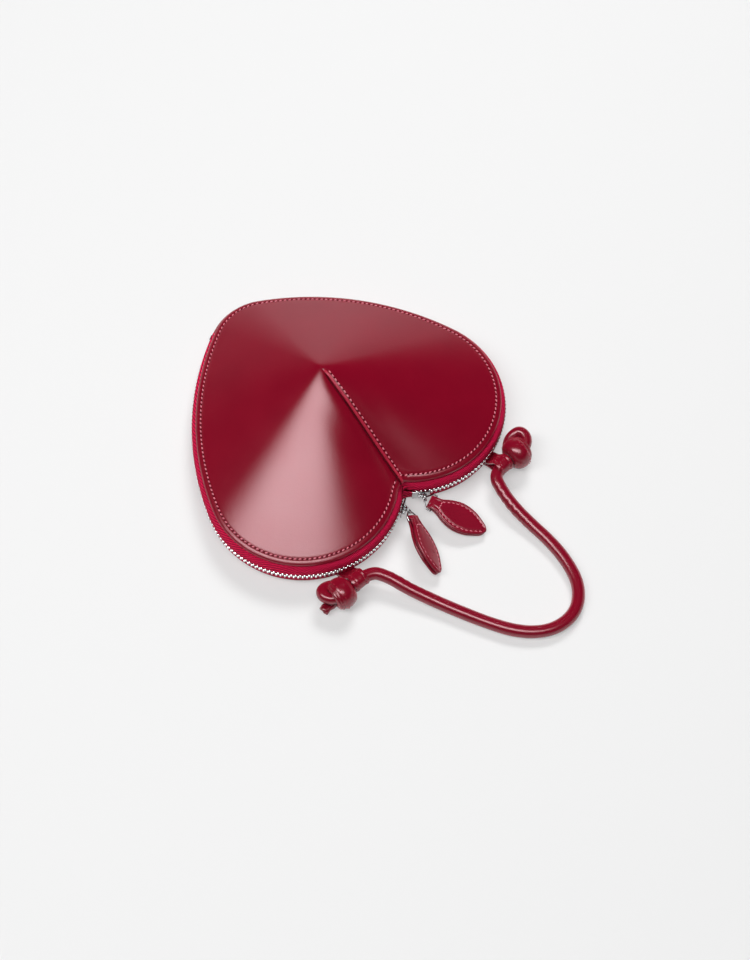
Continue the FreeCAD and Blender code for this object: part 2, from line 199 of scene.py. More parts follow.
class Heart:
    """Outline of both panels, anticlockwise from the tip."""

    def __init__(self):
        lobe = Vector((PANEL_HIGH.x - LOBE_RADIUS, 0, 0))
        tip = Vector((0, PANEL_LOW.y + TIP_RADIUS, 0))
        notch = Vector((0, math.sqrt((LOBE_RADIUS + NOTCH_RADIUS) ** 2 - lobe.x ** 2), 0))
        line = tip - lobe
        span = line.length
        to_lobe = SIDE_RADIUS - LOBE_RADIUS
        to_tip = SIDE_RADIUS - TIP_RADIUS
        reach = (to_lobe ** 2 - to_tip ** 2 + span ** 2) / (2 * span)
        line.normalize()
        side = lobe + line * reach + Vector((line.y, -line.x, 0)) * math.sqrt(to_lobe ** 2 - reach ** 2)
        low = heading(tip - side)
        high = heading(lobe - side)
        turn = heading(notch - lobe)
        self.lobe = lobe
        self.notch_edge = notch.y - NOTCH_RADIUS
        flip = Vector((-1, 1, 1))
        # Tip, right side, right lobe, notch, left lobe and left side
        self.arcs = [
            Arc(tip, TIP_RADIUS, 1, -math.pi - low, low, TIP_STEPS),
            Arc(side, SIDE_RADIUS, 1, low, high, SIDE_STEPS),
            Arc(lobe, LOBE_RADIUS, 1, high, turn, LOBE_STEPS),
            Arc(notch, NOTCH_RADIUS, -1, turn - math.pi, -turn, NOTCH_STEPS),
            Arc(lobe * flip, LOBE_RADIUS, 1, math.pi - turn, math.pi - high, LOBE_STEPS),
            Arc(side * flip, SIDE_RADIUS, 1, math.pi - high, math.pi - low, SIDE_STEPS),
        ]
        self.zip_arcs = self.arcs[1:]

    def reach(self, way):
        """Distance from the peak's foot to the outline."""
        return min(d for arc in self.arcs for d in arc.crosses(PEAK_FOOT, way))

    def trace(self, bm, out, height, arcs=None):
        """Chain of vertices in order, carried round each arc by spin."""
        arcs = arcs or self.arcs
        chain = [bm.verts.new(arcs[0].point(arcs[0].first, out) + UP * height)]
        for arc in arcs:
            count = len(bm.verts)
            bmesh.ops.spin(bm, geom=[chain[-1]], cent=arc.centre, axis=UP, angle=arc.last - arc.first,
                           steps=arc.steps, use_duplicate=False)
            bm.verts.ensure_lookup_table()
            chain.extend(bm.verts[count:])
        if arcs is self.arcs:
            bmesh.ops.pointmerge(bm, verts=[chain[0], chain[-1]], merge_co=chain[0].co)
            chain.pop()
        return chain

    def shrunk(self, bm, share):
        """Closed chain of the outline drawn in towards the peak's foot, on the floor."""
        chain = self.trace(bm, 0, 0)
        bmesh.ops.scale(bm, vec=(share, share, 1), space=Matrix.Translation(-PEAK_FOOT), verts=chain)
        return chain

    def walk(self, out, pitch, arcs=None):
        """Points at an even pitch along the outline, each with the direction of travel."""
        left = pitch / 2
        for arc in arcs or self.arcs:
            radius = arc.radius + arc.bulge * out
            length = radius * abs(arc.last - arc.first)
            turn = 1 if arc.last > arc.first else -1
            while left < length:
                angle = arc.first + turn * left / radius
                yield arc.point(angle, out), bearing(angle + turn * math.pi / 2)
                left += pitch
            left -= length


HEART = Heart()


def cone_share(x, y):
    """Share of the way from the peak's foot to the outline."""
    away = Vector((x, y, 0)) - PEAK_FOOT
    if away.length < TINY:
        return 0
    return away.length / HEART.reach(away.normalized())


def cone_height(x, y):
    """Height of the plain cone, rounded at the peak."""
    full = math.hypot(1, PEAK_ROUND_SHARE)
    share = (full - math.hypot(cone_share(x, y), PEAK_ROUND_SHARE)) / (full - PEAK_ROUND_SHARE)
    return RIM + PEAK_RISE * share


def fold_height(x, y):
    """Bulge of both halves beside the seam, with the left half's turned edge and the right half's groove."""
    if y < PEAK_FOOT.y:
        return 0
    down = y - PEAK_FOOT.y
    taper = smooth(FOLD_START, FOLD_FULL, down)
    swell = smooth(0, SHOULDER_FULL, down) * (1 - smooth(SHOULDER_FULL, SHOULDER_LENGTH, down))
    shoulder = SHOULDER_RISE * swell * (1 - smooth(0, SHOULDER_WIDTH, abs(x)))
    if x > 0:
        return shoulder - GROOVE_DEPTH * taper * (1 - smooth(GROOVE_FLAT, GROOVE_FLAT + GROOVE_FADE, x))
    return shoulder + FOLD_RISE * taper * (1 - smooth(FOLD_FLAT, FOLD_FLAT + FOLD_FADE, -x))


def notch_share(x, y):
    """How strongly the notch draws a point in: 1 at the middle of its edge."""
    down = max(HEART.notch_edge - y, 0) / NOTCH_FADE
    return math.exp(-(x / NOTCH_SPREAD) ** 2 - down ** 2)


def notch_draw(point):
    """How strongly the notch draws in the zip outside it: 1 in the middle."""
    return math.exp(-(point.x / NOTCH_SPREAD) ** 2) if point.y > 0 else 0


def panel_point(point, lift=0):
    """A level point of the front panel put on its surface, with the fold and the notch."""
    share = notch_share(point.x, point.y)
    height = cone_height(point.x, point.y) + fold_height(point.x, point.y)
    return Vector((point.x, point.y - NOTCH_DIP * share, height + NOTCH_LIFT * share + lift))


def ring_edges(ring):
    """Edges among the vertices of one ring."""
    members = set(ring)
    edges = dict.fromkeys(edge for vert in ring for edge in vert.link_edges)
    return [edge for edge in edges if members.issuperset(edge.verts)]


def chain_edges(chain, closed):
    """Edges from each vertex of a chain to the next."""
    pairs = list(zip(chain, chain[1:]))
    if closed:
        pairs.append((chain[-1], chain[0]))
    return [edge for a, b in pairs for edge in a.link_edges if edge.other_vert(a) is b]


def loft(bm, chains, closed):
    """Bands of faces from each chain to the next."""
    for first, second in zip(chains, chains[1:]):
        bmesh.ops.bridge_loops(bm, edges=chain_edges(first, closed) + chain_edges(second, closed))


def close_ends(bm):
    """Caps on the open ends of tubes."""
    bmesh.ops.holes_fill(bm, edges=[edge for edge in bm.edges if edge.is_boundary])


def face_out(bm):
    """All faces turned outwards."""
    bmesh.ops.recalc_face_normals(bm, faces=bm.faces)


def mirror(sign):
    """Flip of a shape on the right to the side with this sign."""
    return Matrix.Diagonal((sign, 1, 1, 1))


def axes(ahead, side, up):
    """Turn that lays X, Y and Z along three directions."""
    return Matrix((ahead, side, up)).transposed().to_4x4()


def line(bm, points):
    """Vertices and edges of an open line of points."""
    chain = [bm.verts.new(point) for point in points]
    return chain, [bm.edges.new(pair) for pair in zip(chain, chain[1:])]


def turned(bm, points, axis, steps):
    """Full turn of a line of points about an axis through the origin."""
    chain, edges = line(bm, points)
    bmesh.ops.spin(bm, geom=edges + chain, cent=(0, 0, 0), axis=axis, angle=2 * math.pi, steps=steps,
                   use_merge=True, use_duplicate=False)
    bmesh.ops.remove_doubles(bm, verts=bm.verts, dist=TINY)


def extrude(bm, edges):
    """New vertices, and the edges between them, grown from a row of edges."""
    grown = bmesh.ops.extrude_edge_only(bm, edges=edges)["geom"]
    verts = [part for part in grown if isinstance(part, bmesh.types.BMVert)]
    edges = [part for part in grown if isinstance(part, bmesh.types.BMEdge)]
    return verts, [edge for edge in edges if all(vert in verts for vert in edge.verts)]


def scale_ring(bm, ring, factors):
    """Ring of vertices scaled about its own middle."""
    centre = sum((vert.co for vert in ring), Vector()) / len(ring)
    bmesh.ops.scale(bm, vec=factors, space=Matrix.Translation(-centre), verts=ring)


def spline_points(points, resolution):
    """Points of a smooth line that follows a route's control points."""
    curve = bpy.data.curves.new("route", "CURVE")
    curve.dimensions = "3D"
    curve.resolution_u = resolution
    spline = curve.splines.new("NURBS")
    spline.points.add(len(points) - 1)
    for point, place in zip(spline.points, points):
        point.co = (*place, 1)
    spline.order_u = 3
    spline.use_endpoint_u = True
    holder = bpy.data.objects.new("route", curve)
    mesh = bpy.data.meshes.new_from_object(holder)
    found = [vert.co.copy() for vert in mesh.vertices]
    bpy.data.objects.remove(holder)
    bpy.data.curves.remove(curve)
    bpy.data.meshes.remove(mesh)
    return found


def frames_along(points):
    """Frames that follow a line of points without twisting: X ahead, Z up."""
    frames = []
    up = UP
    for i, point in enumerate(points):
        ahead = (points[min(i + 1, len(points) - 1)] - points[max(i - 1, 0)]).normalized()
        side = up.cross(ahead).normalized()
        up = ahead.cross(side)
        frames.append(Matrix.Translation(point) @ axes(ahead, side, up))
    return frames


def tube(bm, points, radius, sides):
    """Rings of a round tube along points, with the way along it kept on its vertices."""
    along = bm.verts.layers.float.get("along") or bm.verts.layers.float.new("along")
    frames = frames_along(points)
    stand = Matrix.Rotation(math.pi / 2, 4, "Y")
    ring = bmesh.ops.create_circle(bm, segments=sides, radius=radius, matrix=frames[0] @ stand)["verts"]
    rings = [ring]
    edges = chain_edges(ring, True)
    length = 0
    for before, after, start, end in zip(frames, frames[1:], points, points[1:]):
        ring, edges = extrude(bm, edges)
        bmesh.ops.transform(bm, matrix=after @ before.inverted(), verts=ring)
        length += (end - start).length
        for vert in ring:
            vert[along] = length
        rings.append(ring)
    return rings


def stitch(bm, place, ahead, normal, size, slant=0):
    """One stitch of thread: a slim rounded bead laid along a direction."""
    ahead = (ahead - normal * ahead.dot(normal)).normalized()
    turn = axes(ahead, normal.cross(ahead), normal)
    pose = Matrix.Translation(place) @ turn @ Matrix.Rotation(slant, 4, "Z")
    lie = Matrix.Rotation(math.pi / 2, 4, "Y")
    shape = Matrix.Diagonal((size.length / 2, size.width / 2, size.height / 2, 1))
    bmesh.ops.create_uvsphere(bm, u_segments=STITCH_SIDES, v_segments=STITCH_RINGS, radius=1,
                              matrix=pose @ shape @ lie)


class StitchSize:
    """Length, width and height of one stitch."""

    def __init__(self, length, width, height):
        self.length = length
        self.width = width
        self.height = height


class Signal:
    """Shader socket that takes part in Python sums; each sum adds its Math node."""

    def __init__(self, finish, socket):
        self.finish = finish
        self.socket = socket

    def maths(self, operation, first, second):
        return self.finish.signal("ShaderNodeMath", {"operation": operation}, {0: first, 1: second})

    def __add__(self, other):
        return self.maths("ADD", self, other)

    __radd__ = __add__

    def __sub__(self, other):
        return self.maths("SUBTRACT", self, other)

    def __rsub__(self, other):
        return self.maths("SUBTRACT", other, self)

    def __mul__(self, other):
        return self.maths("MULTIPLY", self, other)

    __rmul__ = __mul__

    def sine(self):
        return self.maths("SINE", self, 0)

    def wave(self):
        """Sine that runs from 0 to 1."""
        return self.sine() * 0.5 + 0.5


class Finish:
    """Node tree of a material or a lamp being put together."""

    def __init__(self, owner):
        owner.use_nodes = True
        self.owner = owner
        self.tree = owner.node_tree
        self.tree.nodes.clear()

    def node(self, kind, options, inputs):
        """New node: its options are set first, then its inputs as values or links."""
        made = self.tree.nodes.new(kind)
        for name, value in options.items():
            setattr(made, name, value)
        for key, value in inputs.items():
            if isinstance(value, Signal):
                self.tree.links.new(value.socket, made.inputs[key])
            else:
                made.inputs[key].default_value = value
        return made

    def signal(self, kind, options, inputs, output=0):
        return Signal(self, self.node(kind, options, inputs).outputs[output])

    def object_place(self):
        return self.signal("ShaderNodeTexCoord", {}, {}, "Object")

    def attribute(self, name):
        return self.signal("ShaderNodeAttribute", {"attribute_name": name}, {}, "Fac")

    def noise(self, place, scale, detail):
        return self.signal("ShaderNodeTexNoise", {}, {"Vector": place, "Scale": scale, "Detail": detail})

    def cells(self, place, scale):
        return self.signal("ShaderNodeTexVoronoi", {}, {"Vector": place, "Scale": scale})

    def split(self, vector):
        """X, Y and Z of a vector."""
        parts = self.node("ShaderNodeSeparateXYZ", {}, {"Vector": vector})
        return [Signal(self, output) for output in parts.outputs]

    def fade_out(self, value, start, end):
        """1 up to the start and 0 from the end on, smooth between them."""
        return self.signal("ShaderNodeMapRange", {"interpolation_type": "SMOOTHSTEP"}, {
            "Value": value, "From Min": start, "From Max": end, "To Min": 1, "To Max": 0})

    def mix(self, share, first, second):
        """Mix of two colours; the numbers are the node's colour sockets."""
        return self.signal("ShaderNodeMix", {"data_type": "RGBA"}, {0: share, 6: first, 7: second}, 2)

    def bump(self, height, strength, distance):
        return self.signal("ShaderNodeBump", {}, {
            "Height": height, "Strength": strength, "Distance": distance})

    def surface(self, inputs):
        shader = self.signal("ShaderNodeBsdfPrincipled", {}, inputs)
        self.node("ShaderNodeOutputMaterial", {}, {"Surface": shader})
        return self.owner


def rgba(colour, gain=1.0):
    """Colour for a socket, darkened or lightened."""
    return (*[min(channel * gain, 1) for channel in colour], 1)


def leather(name, colour, roughness=None, coat=0.0, shine=0.86):
    """Smooth glossy leather: fine pores, faint creases and a little unevenness in colour and gloss."""
    pore_share, fine_share, cloud_share = 0.6, 0.7, 0.4
    uneven = 0.08
    if roughness is None:
        roughness = finishes().gloss
    finish = Finish(bpy.data.materials.new(name))
    place = finish.object_place()
    cloud = finish.noise(place, scale=38, detail=3)
    pores = finish.cells(place, scale=1700)
    fine = finish.noise(place, scale=620, detail=3)
    grain = pores * pore_share + fine * fine_share + cloud * cloud_share
    return finish.surface({
        "Base Color": finish.mix(cloud, rgba(colour, gain=0.88), rgba(colour, gain=1.14)),
        "Roughness": roughness - uneven / 2 + cloud * uneven,
        "Normal": finish.bump(grain, strength=0.5, distance=0.0001),
        "Coat Weight": coat,
        "Coat Roughness": 0.2,
        "Specular IOR Level": shine,
        "Specular Tint": (1.0, 0.74, 0.77, 1.0),
        "Sheen Weight": 0.3,
        "Sheen Roughness": 0.5,
        "Sheen Tint": (1.0, 0.06, 0.12, 1.0),
    })


def twill(name, colour):
    """Woven zip tape: slanted ribs along the tape."""
    rib_along, rib_across, row_across = 2200, 2300, 9000
    row_depth, fibre_share, rib_gloss = 0.3, 0.2, 0.15
    finish = Finish(bpy.data.materials.new(name))
    along = finish.attribute("along")
    across = finish.attribute("across")
    ribs = (along * rib_along + across * rib_across).wave()
    rows = (across * row_across).wave()
    fibre = finish.noise(finish.object_place(), scale=1500, detail=2)
    weave = ribs * (rows * row_depth + (1 - row_depth))
    share = weave * (1 - fibre_share) + fibre * fibre_share
    return finish.surface({
        "Base Color": finish.mix(share, rgba(colour, gain=0.18), rgba(colour, gain=1.3)),
        "Roughness": 0.9 - weave * rib_gloss,
        "Normal": finish.bump(weave, strength=0.8, distance=0.0004),
        "Specular IOR Level": 0.15,
    })


def metal(name, colour, roughness):
    """Bright metal with slightly uneven gloss."""
    uneven = 0.08
    finish = Finish(bpy.data.materials.new(name))
    cloud = finish.noise(finish.object_place(), scale=420, detail=3)
    return finish.surface({
        "Base Color": rgba(colour),
        "Metallic": 1.0,
        "Roughness": roughness + cloud * uneven,
        "Normal": finish.bump(cloud, strength=0.05, distance=0.00005),
    })


def thread(name, colour):
    """Waxed sewing thread."""
    finish = Finish(bpy.data.materials.new(name))
    strands = finish.noise(finish.object_place(), scale=2600, detail=2)
    return finish.surface({
        "Base Color": finish.mix(strands, rgba(colour, gain=0.75), rgba(colour, gain=1.2)),
        "Roughness": 0.35,
        "Normal": finish.bump(strands, strength=0.5, distance=0.0001),
        "Sheen Weight": 0.2,
    })


def cloth(name, colour):
    """Plain woven cloth or fibre."""
    threads = 7000
    finish = Finish(bpy.data.materials.new(name))
    x, y, _ = finish.split(finish.object_place())
    weave = (x * threads).sine() * (y * threads).sine() * 0.5 + 0.5
    return finish.surface({
        "Base Color": finish.mix(weave, rgba(colour, gain=0.75), rgba(colour, gain=1.15)),
        "Roughness": 0.8,
        "Normal": finish.bump(weave, strength=0.4, distance=0.0001),
        "Sheen Weight": 0.2,
    })


def colour_property(name, description, colour):
    return FloatVectorProperty(name=name, description=description, default=colour, subtype="COLOR",
                               size=3, min=0, max=1)


def length_property(name, description, default):
    return FloatProperty(name=name, description=description, default=default, unit="LENGTH", precision=5)


class PurseFinishes(bpy.types.PropertyGroup):
    """Colours and gloss of the purse's surfaces."""

    panel: colour_property("Panel leather", "Leather of both panels", (0.17, 0.0006, 0.0105))
    handle: colour_property("Handle leather", "Leather of the handle, knots and loops",
                            (0.178, 0.0016, 0.0125))
    pull: colour_property("Pull leather", "Leather of the zip pulls", (0.185, 0.002, 0.0145))
    edge: colour_property("Cut edge", "Painted cut edges of the leather", (0.12, 0.004, 0.012))
    # Lighter leather on the seam's turned edge: partly wear, partly a painted highlight; it also colours the
    # knot and strap stitches
    worn: colour_property("Worn edge", "Leather rubbed lighter along the seam", (0.36, 0.012, 0.036))
    # Dark marks for the needle holes and the seam's gap: painted shade
    hole: colour_property("Needle hole", "Dark holes between the stitches", (0.065, 0.0006, 0.005))
    tape: colour_property("Zip tape", "Woven tape of the zip", (0.74, 0.009, 0.074))
    thread: colour_property("Thread", "Stitching thread", (0.68, 0.18, 0.235))
    teeth: colour_property("Teeth", "Metal of the zip's teeth", (0.86, 0.86, 0.87))
    metal: colour_property("Metal", "Sliders, rings and frames", (0.5, 0.5, 0.51))
    lining: colour_property("Lining", "Woven lining", (0.16, 0.008, 0.022))
    board: colour_property("Board", "Stiffening boards", (0.3, 0.2, 0.13))
    floor: colour_property("Floor", "Studio floor", (0.68, 0.68, 0.68))
    gloss: FloatProperty(name="Roughness", description="Roughness of the panel leather", default=0.25, min=0,
                         max=1, subtype="FACTOR")


class PurseSizes(bpy.types.PropertyGroup):
    """Sizes of the stitching, the zip's teeth and the view."""

    stitch_pitch: length_property("Stitch pitch", "Distance from stitch to stitch", 0.003)
    stitch_inset: length_property("Stitch inset", "Distance of the stitches from the panel's edge", 0.0035)
    stitch_length: length_property("Stitch length", "Length of one stitch", 0.0019)
    stitch_width: length_property("Stitch width", "Width of one stitch", 0.00095)
    tooth_pitch: length_property("Tooth pitch", "Distance from tooth to tooth in one row", 0.0027)
    tooth_width: length_property("Tooth width", "Width of a tooth along the zip", 0.0012)
    tooth_length: length_property("Tooth length", "Length of a tooth across the zip", 0.0021)
    camera_distance: length_property("Camera distance", "From the camera to its target", 1.0)
    camera_lens: FloatProperty(name="Lens", description="Focal length on a 36 mm tall frame, in mm",
                               default=59.7)
    camera_azimuth: FloatProperty(name="Camera azimuth", description="0 looks along +Y",
                                  default=math.radians(138.95), subtype="ANGLE")
    camera_elevation: FloatProperty(name="Camera elevation", description="Angle above the floor",
                                    default=math.radians(63.1), subtype="ANGLE")


def finishes():
    return bpy.context.scene.purse_finishes


def sizes():
    return bpy.context.scene.purse_sizes


# Surfaces: what makes each one, the property with its colour, and its own gloss
SURFACES = {
    "panel leather": (leather, "panel", {}),
    # Seam's turned edge: rubbed lighter, with a painted highlight
    "worn edge": (leather, "worn", {}),
    "handle leather": (leather, "handle", {"roughness": 0.23, "coat": 0.2}),
    "pull leather": (leather, "pull", {"roughness": 0.28, "coat": 0.1}),
    "edge paint": (leather, "edge", {"roughness": 0.4, "coat": 0.1}),
    # Needle holes and the seam's gap: painted shade
    "needle hole": (leather, "hole", {"roughness": 0.7, "shine": 0.1}),
    "tape twill": (twill, "tape", {}),
    "stitch thread": (thread, "thread", {}),
    "tooth metal": (metal, "teeth", {"roughness": 0.1}),
    "bright metal": (metal, "metal", {"roughness": 0.08}),
    "lining cloth": (cloth, "lining", {}),
    "fibre board": (cloth, "board", {}),
}


def material(name):
    """One of the surfaces, made when it is first asked for."""
    make, colour, gloss = SURFACES[name]
    return bpy.data.materials.get(name) or make(name, getattr(finishes(), colour), **gloss)


def mesh_object(name, bm, finish):
    """Object made of a bmesh in one finish."""
    mesh = bpy.data.meshes.new(name)
    bm.to_mesh(mesh)
    bm.free()
    mesh.materials.append(finish)
    made = bpy.data.objects.new(name, mesh)
    bpy.context.scene.collection.objects.link(made)
    return made


def add_piece(name, bm, finish, body, nodes=()):
    """Object from a bmesh, riding on a body and standing for the nodes that it hides."""
    for face in bm.faces:
        face.smooth = True
    piece = mesh_object(name, bm, finish)
    if body:
        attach(piece, body)
    if nodes:
        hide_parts(*nodes)
    return piece


def thicken(piece, thickness, offset=-1.0):
    """Wall for a sheet: behind its face, or with offset 0 on both sides of it."""
    wall = piece.modifiers.new("Wall", "SOLIDIFY")
    wall.thickness = thickness
    wall.offset = offset
    wall.use_even_offset = False


def round_edges(piece, width, segments=2, angle=0.6):
    edges = piece.modifiers.new("Edges", "BEVEL")
    edges.width = width
    edges.segments = segments
    edges.limit_method = "ANGLE"
    edges.angle_limit = angle


def paint_nodes(names, finish):
    """Finish on solids of the frame that are shown as they are."""
    for name in names:
        node = frame["nodes"][name]
        node.data.materials.clear()
        node.data.materials.append(finish)


class PURSE_OT_front_panel(bpy.types.Operator):
    """Front panel: a leather cone with a rolled rim and a turned edge along its seam"""

    bl_idname = "purse.front_panel"
    bl_label = "Front panel"

    # Rolled rim: distance inside the edge and height over the rim's top
    rim_rows = ((0.0026, -0.0021), (0.0005, -0.0021), (0, -0.0017), (0, -0.0009), (0.0001, -0.0003))
    # Top near the rim: distance inside the edge and lift over the cone
    top_rows = ((0.0004, 0), (0.001, 0.0001), (0.0018, 0.00015), (0.0026, 0.0001), (0.0031, -0.0001),
                (0.0035, -0.00022), (0.0039, -0.0001), (0.0044, 0), (0.0053, 0))
    # Rings on from there, as shares of the way from the peak's foot to the edge
    cone_shares = (0.885, 0.85, 0.805, 0.75, 0.68, 0.6, 0.52, 0.44, 0.36, 0.29, 0.23, 0.18, 0.14, 0.105,
                   0.08, 0.06, 0.043, 0.03, 0.019, 0.01, 0.004, 0.001)
    # Thickness of the panel's wall, as a share of the leather's
    wall_share = 0.8
    cord_radius = 0.00085
    cord_across = -0.0005
    cord_lift = 0.0004
    # Dark line of painted shade in the gap beside the turned edge: radius, place across and lift
    gap_shade_radius = 0.0004
    gap_shade_across = 0.0006
    gap_shade_lift = 0.0001
    cord_start = 0.006
    cord_step = 0.003
    cord_smoothness = 4
    cord_sides = 14
    # Cord's ends: distance from the peak and lift, then distance from the notch's edge and lift
    cord_first = ((0.0012, -0.0022), (0.0026, -0.0004))
    cord_last = ((0.0004, 0), (-0.0003, -0.0006), (-0.0005, -0.0022))

    def rings(self, bm):
        chains = []
        for inset, lift in self.rim_rows:
            chain = HEART.trace(bm, -inset, RIM + lift)
            for vert in chain:
                share = notch_share(vert.co.x, vert.co.y)
                vert.co += Vector((0, -NOTCH_DIP, NOTCH_LIFT)) * share
            chains.append(chain)
        for inset, lift in self.top_rows:
            chain = HEART.trace(bm, -inset, 0)
            for vert in chain:
                vert.co = panel_point(vert.co, lift)
            chains.append(chain)
        for share in self.cone_shares:
            chain = HEART.shrunk(bm, share)
            for vert in chain:
                vert.co = panel_point(vert.co)
            chains.append(chain)
        return chains

    def cord(self, name, radius, across, middle_lift, finish, nodes=()):
        """Thin line along the seam: the left half's turned edge, lighter partly from wear and partly from a
        painted highlight, or a dark line of painted shade in the gap beside it.
        """
        rows = [(PEAK_FOOT.y + away, lift) for away, lift in self.cord_first]
        y = PEAK_FOOT.y + self.cord_start
        while y < HEART.notch_edge - self.cord_step:
            rows.append((y, middle_lift))
            y += self.cord_step
        rows += [(HEART.notch_edge - NOTCH_DIP - away, lift) for away, lift in self.cord_last]
        route = []
        for y, lift in rows:
            surface = panel_point(Vector((across, min(y, HEART.notch_edge), 0)), lift)
            route.append(Vector((across, y, surface.z)))
        bm = bmesh.new()
        rings = tube(bm, spline_points(route, self.cord_smoothness), radius, self.cord_sides)
        for ring in (rings[0], rings[-1]):
            bmesh.ops.contextual_create(bm, geom=ring_edges(ring))
        face_out(bm)
        add_piece(name, bm, finish, "front", nodes)

    def execute(self, context):
        bm = bmesh.new()
        chains = self.rings(bm)
        loft(bm, chains, True)
        bmesh.ops.contextual_create(bm, geom=chain_edges(chains[-1], True))
        face_out(bm)
        piece = add_piece("front_panel_leather", bm, material("panel leather"), "front",
                          ("front_panel",))
        thicken(piece, LEATHER * self.wall_share)
        # Turned edge in the lighter leather colour: wear and a painted highlight
        self.cord("seam_cord", self.cord_radius, self.cord_across, self.cord_lift, material("worn edge"),
                  ("seam_lap",))
        # Dark tube of painted shade along the gap under the turned edge
        self.cord("seam_gap", self.gap_shade_radius, self.gap_shade_across, self.gap_shade_lift, material("needle hole"))
        return {"FINISHED"}


class PURSE_OT_back_panel(bpy.types.Operator):
    """Back panel: a flat leather heart with a rounded edge and a sewn groove underneath"""

    bl_idname = "purse.back_panel"
    bl_label = "Back panel"

    # Distance inside the edge and height, from the top round the edge to the middle of the underside
    rows = ((0.012, 0.0018), (0.0008, 0.0018), (0.0001, 0.0014), (0, 0.0009), (0.0002, 0.0004),
            (0.0009, 0.0001), (0.0018, 0), (0.0028, 0), (0.0032, 0.0003), (0.0035, 0.0006), (0.0038, 0.0003),
            (0.0044, 0), (0.0065, 0))
    shares = (0.86, 0.6, 0.3, 0.1)

    def execute(self, context):
        bm = bmesh.new()
        chains = [HEART.trace(bm, -inset, height) for inset, height in self.rows]
        chains += [HEART.shrunk(bm, share) for share in self.shares]
        loft(bm, chains, True)
        for chain in (chains[-1], chains[0]):
            bmesh.ops.contextual_create(bm, geom=chain_edges(chain, True))
        face_out(bm)
        add_piece("back_panel_leather", bm, material("panel leather"), "back",
                  ("back_panel",))
        return {"FINISHED"}


class PURSE_OT_stitching(bpy.types.Operator):
    """Stitching round both panels and along the seam, with dark marks of painted shade for the needle holes
    """

    bl_idname = "purse.stitching"
    bl_label = "Stitching"

    seam_across = -0.0024
    seam_start = 0.0055
    seam_end = 0.0045
    # Distance from a stitch of the seam to the hole after it, as a share of the pitch
    seam_step = 0.46
    slant = 0.4
    # Dark mark of painted shade for each needle hole: its size, and its slant below
    hole = StitchSize(0.0015, 0.0012, 0.0002)
    hole_slant = 0.6
    notch_clear = 0.0012
    back_depth = 0.00036
    # Step at which the surface's slope is read
    probe = 0.0005

    def normal(self, point):
        """Way straight out of the front panel."""
        steps = (Vector((self.probe, 0, 0)), Vector((0, self.probe, 0)))
        east, north = [panel_point(point + step) - panel_point(point - step) for step in steps]
        return east.cross(north).normalized()

    def lay(self, bm, point, ahead, size, slant):
        """One stitch, or a dark mark of painted shade for a needle hole, on the front panel."""
        stitch(bm, panel_point(point), ahead, self.normal(point), size, slant)

    def execute(self, context):
        pitch = sizes().stitch_pitch
        inset = sizes().stitch_inset
        size = StitchSize(sizes().stitch_length, sizes().stitch_width, sizes().stitch_width)
        front, holes, seam, back = [bmesh.new() for _ in range(4)]
        for i, (point, ahead) in enumerate(HEART.walk(-inset, pitch / 2)):
            if abs(point.x) < self.notch_clear and point.y > 0:
                continue
            # Every other place on the rim takes a dark mark of painted shade for a needle hole
            if i % 2:
                self.lay(holes, point, ahead, self.hole, self.hole_slant)
            else:
                self.lay(front, point, ahead, size, self.slant)
        y = PEAK_FOOT.y + self.seam_start
        while y < HEART.notch_edge - self.seam_end:
            point = Vector((self.seam_across, y, 0))
            ahead = panel_point(point + Vector((0, self.probe, 0))) - panel_point(point)
            self.lay(seam, point, ahead, size, 0)
            y += pitch * self.seam_step
            # Dark mark of painted shade for the needle hole after the stitch
            self.lay(holes, Vector((self.seam_across, y, 0)), ahead, self.hole, self.hole_slant)
            y += pitch * self.seam_step
        for point, ahead in HEART.walk(-inset, pitch):
            stitch(back, point + UP * self.back_depth, ahead, -UP, size)
        add_piece("rim_stitches", front, material("stitch thread"), "front")
        # Dark marks of painted shade for the needle holes
        add_piece("needle_holes", holes, material("needle hole"), "front")
        add_piece("seam_stitches", seam, material("stitch thread"), "front")
        add_piece("back_stitches", back, material("stitch thread"), "back")
        return {"FINISHED"}


class PURSE_OT_zip_tapes(bpy.types.Operator):
    """Zip tapes: woven bands from under each panel's edge out to the teeth"""

    bl_idname = "purse.zip_tapes"
    bl_label = "Zip tapes"

    # Distance outside the panel's edge, height, and share of the notch's draw
    front_rows = ((-0.006, 0.0213, 1), (-0.0025, 0.0199, 1), (-0.0006, 0.0197, 1), (0.0008, 0.0194, 1.2),
                  (0.0019, 0.0185, 1.6), (0.0026, 0.0169, 2.2), (0.0029, 0.0154, 2.2), (0.003, 0.0145, 1.8),
                  (0.003, 0.0136, 1.4))
    back_rows = ((-0.006, 0.0021, 0), (-0.001, 0.0021, 0), (0.0006, 0.0023, 0), (0.0018, 0.0036, 0.4),
                 (0.0026, 0.006, 0.8), (0.0029, 0.0082, 1.2), (0.003, 0.0095, 1.4), (0.003, 0.0104, 1.4))
    thickness = 0.0007

    def band(self, rows):
        bm = bmesh.new()
        along = bm.verts.layers.float.new("along")
        across = bm.verts.layers.float.new("across")
        chains = []
        spent = 0
        before = None
        for out, height, draw in rows:
            if before:
                spent += math.hypot(out - before[0], height - before[1])
            before = (out, height)
            chain = HEART.trace(bm, out, height, HEART.zip_arcs)
            length = 0
            for i, vert in enumerate(chain):
                if i:
                    length += (vert.co - chain[i - 1].co).length
                vert[along] = length
                vert[across] = spent
            for vert in chain:
                lift = NOTCH_LIFT if draw >= 1 else 0
                vert.co += Vector((0, -NOTCH_DIP, lift)) * notch_draw(vert.co) * draw
            chains.append(chain)
        loft(bm, chains, False)
        face_out(bm)
        return bm

    def execute(self, context):
        for body, rows in (("front", self.front_rows), ("back", self.back_rows)):
            tape = add_piece(body + "_tape_weave", self.band(rows), material("tape twill"), body,
                             (body + "_zip_tape",))
            thicken(tape, self.thickness)
        return {"FINISHED"}


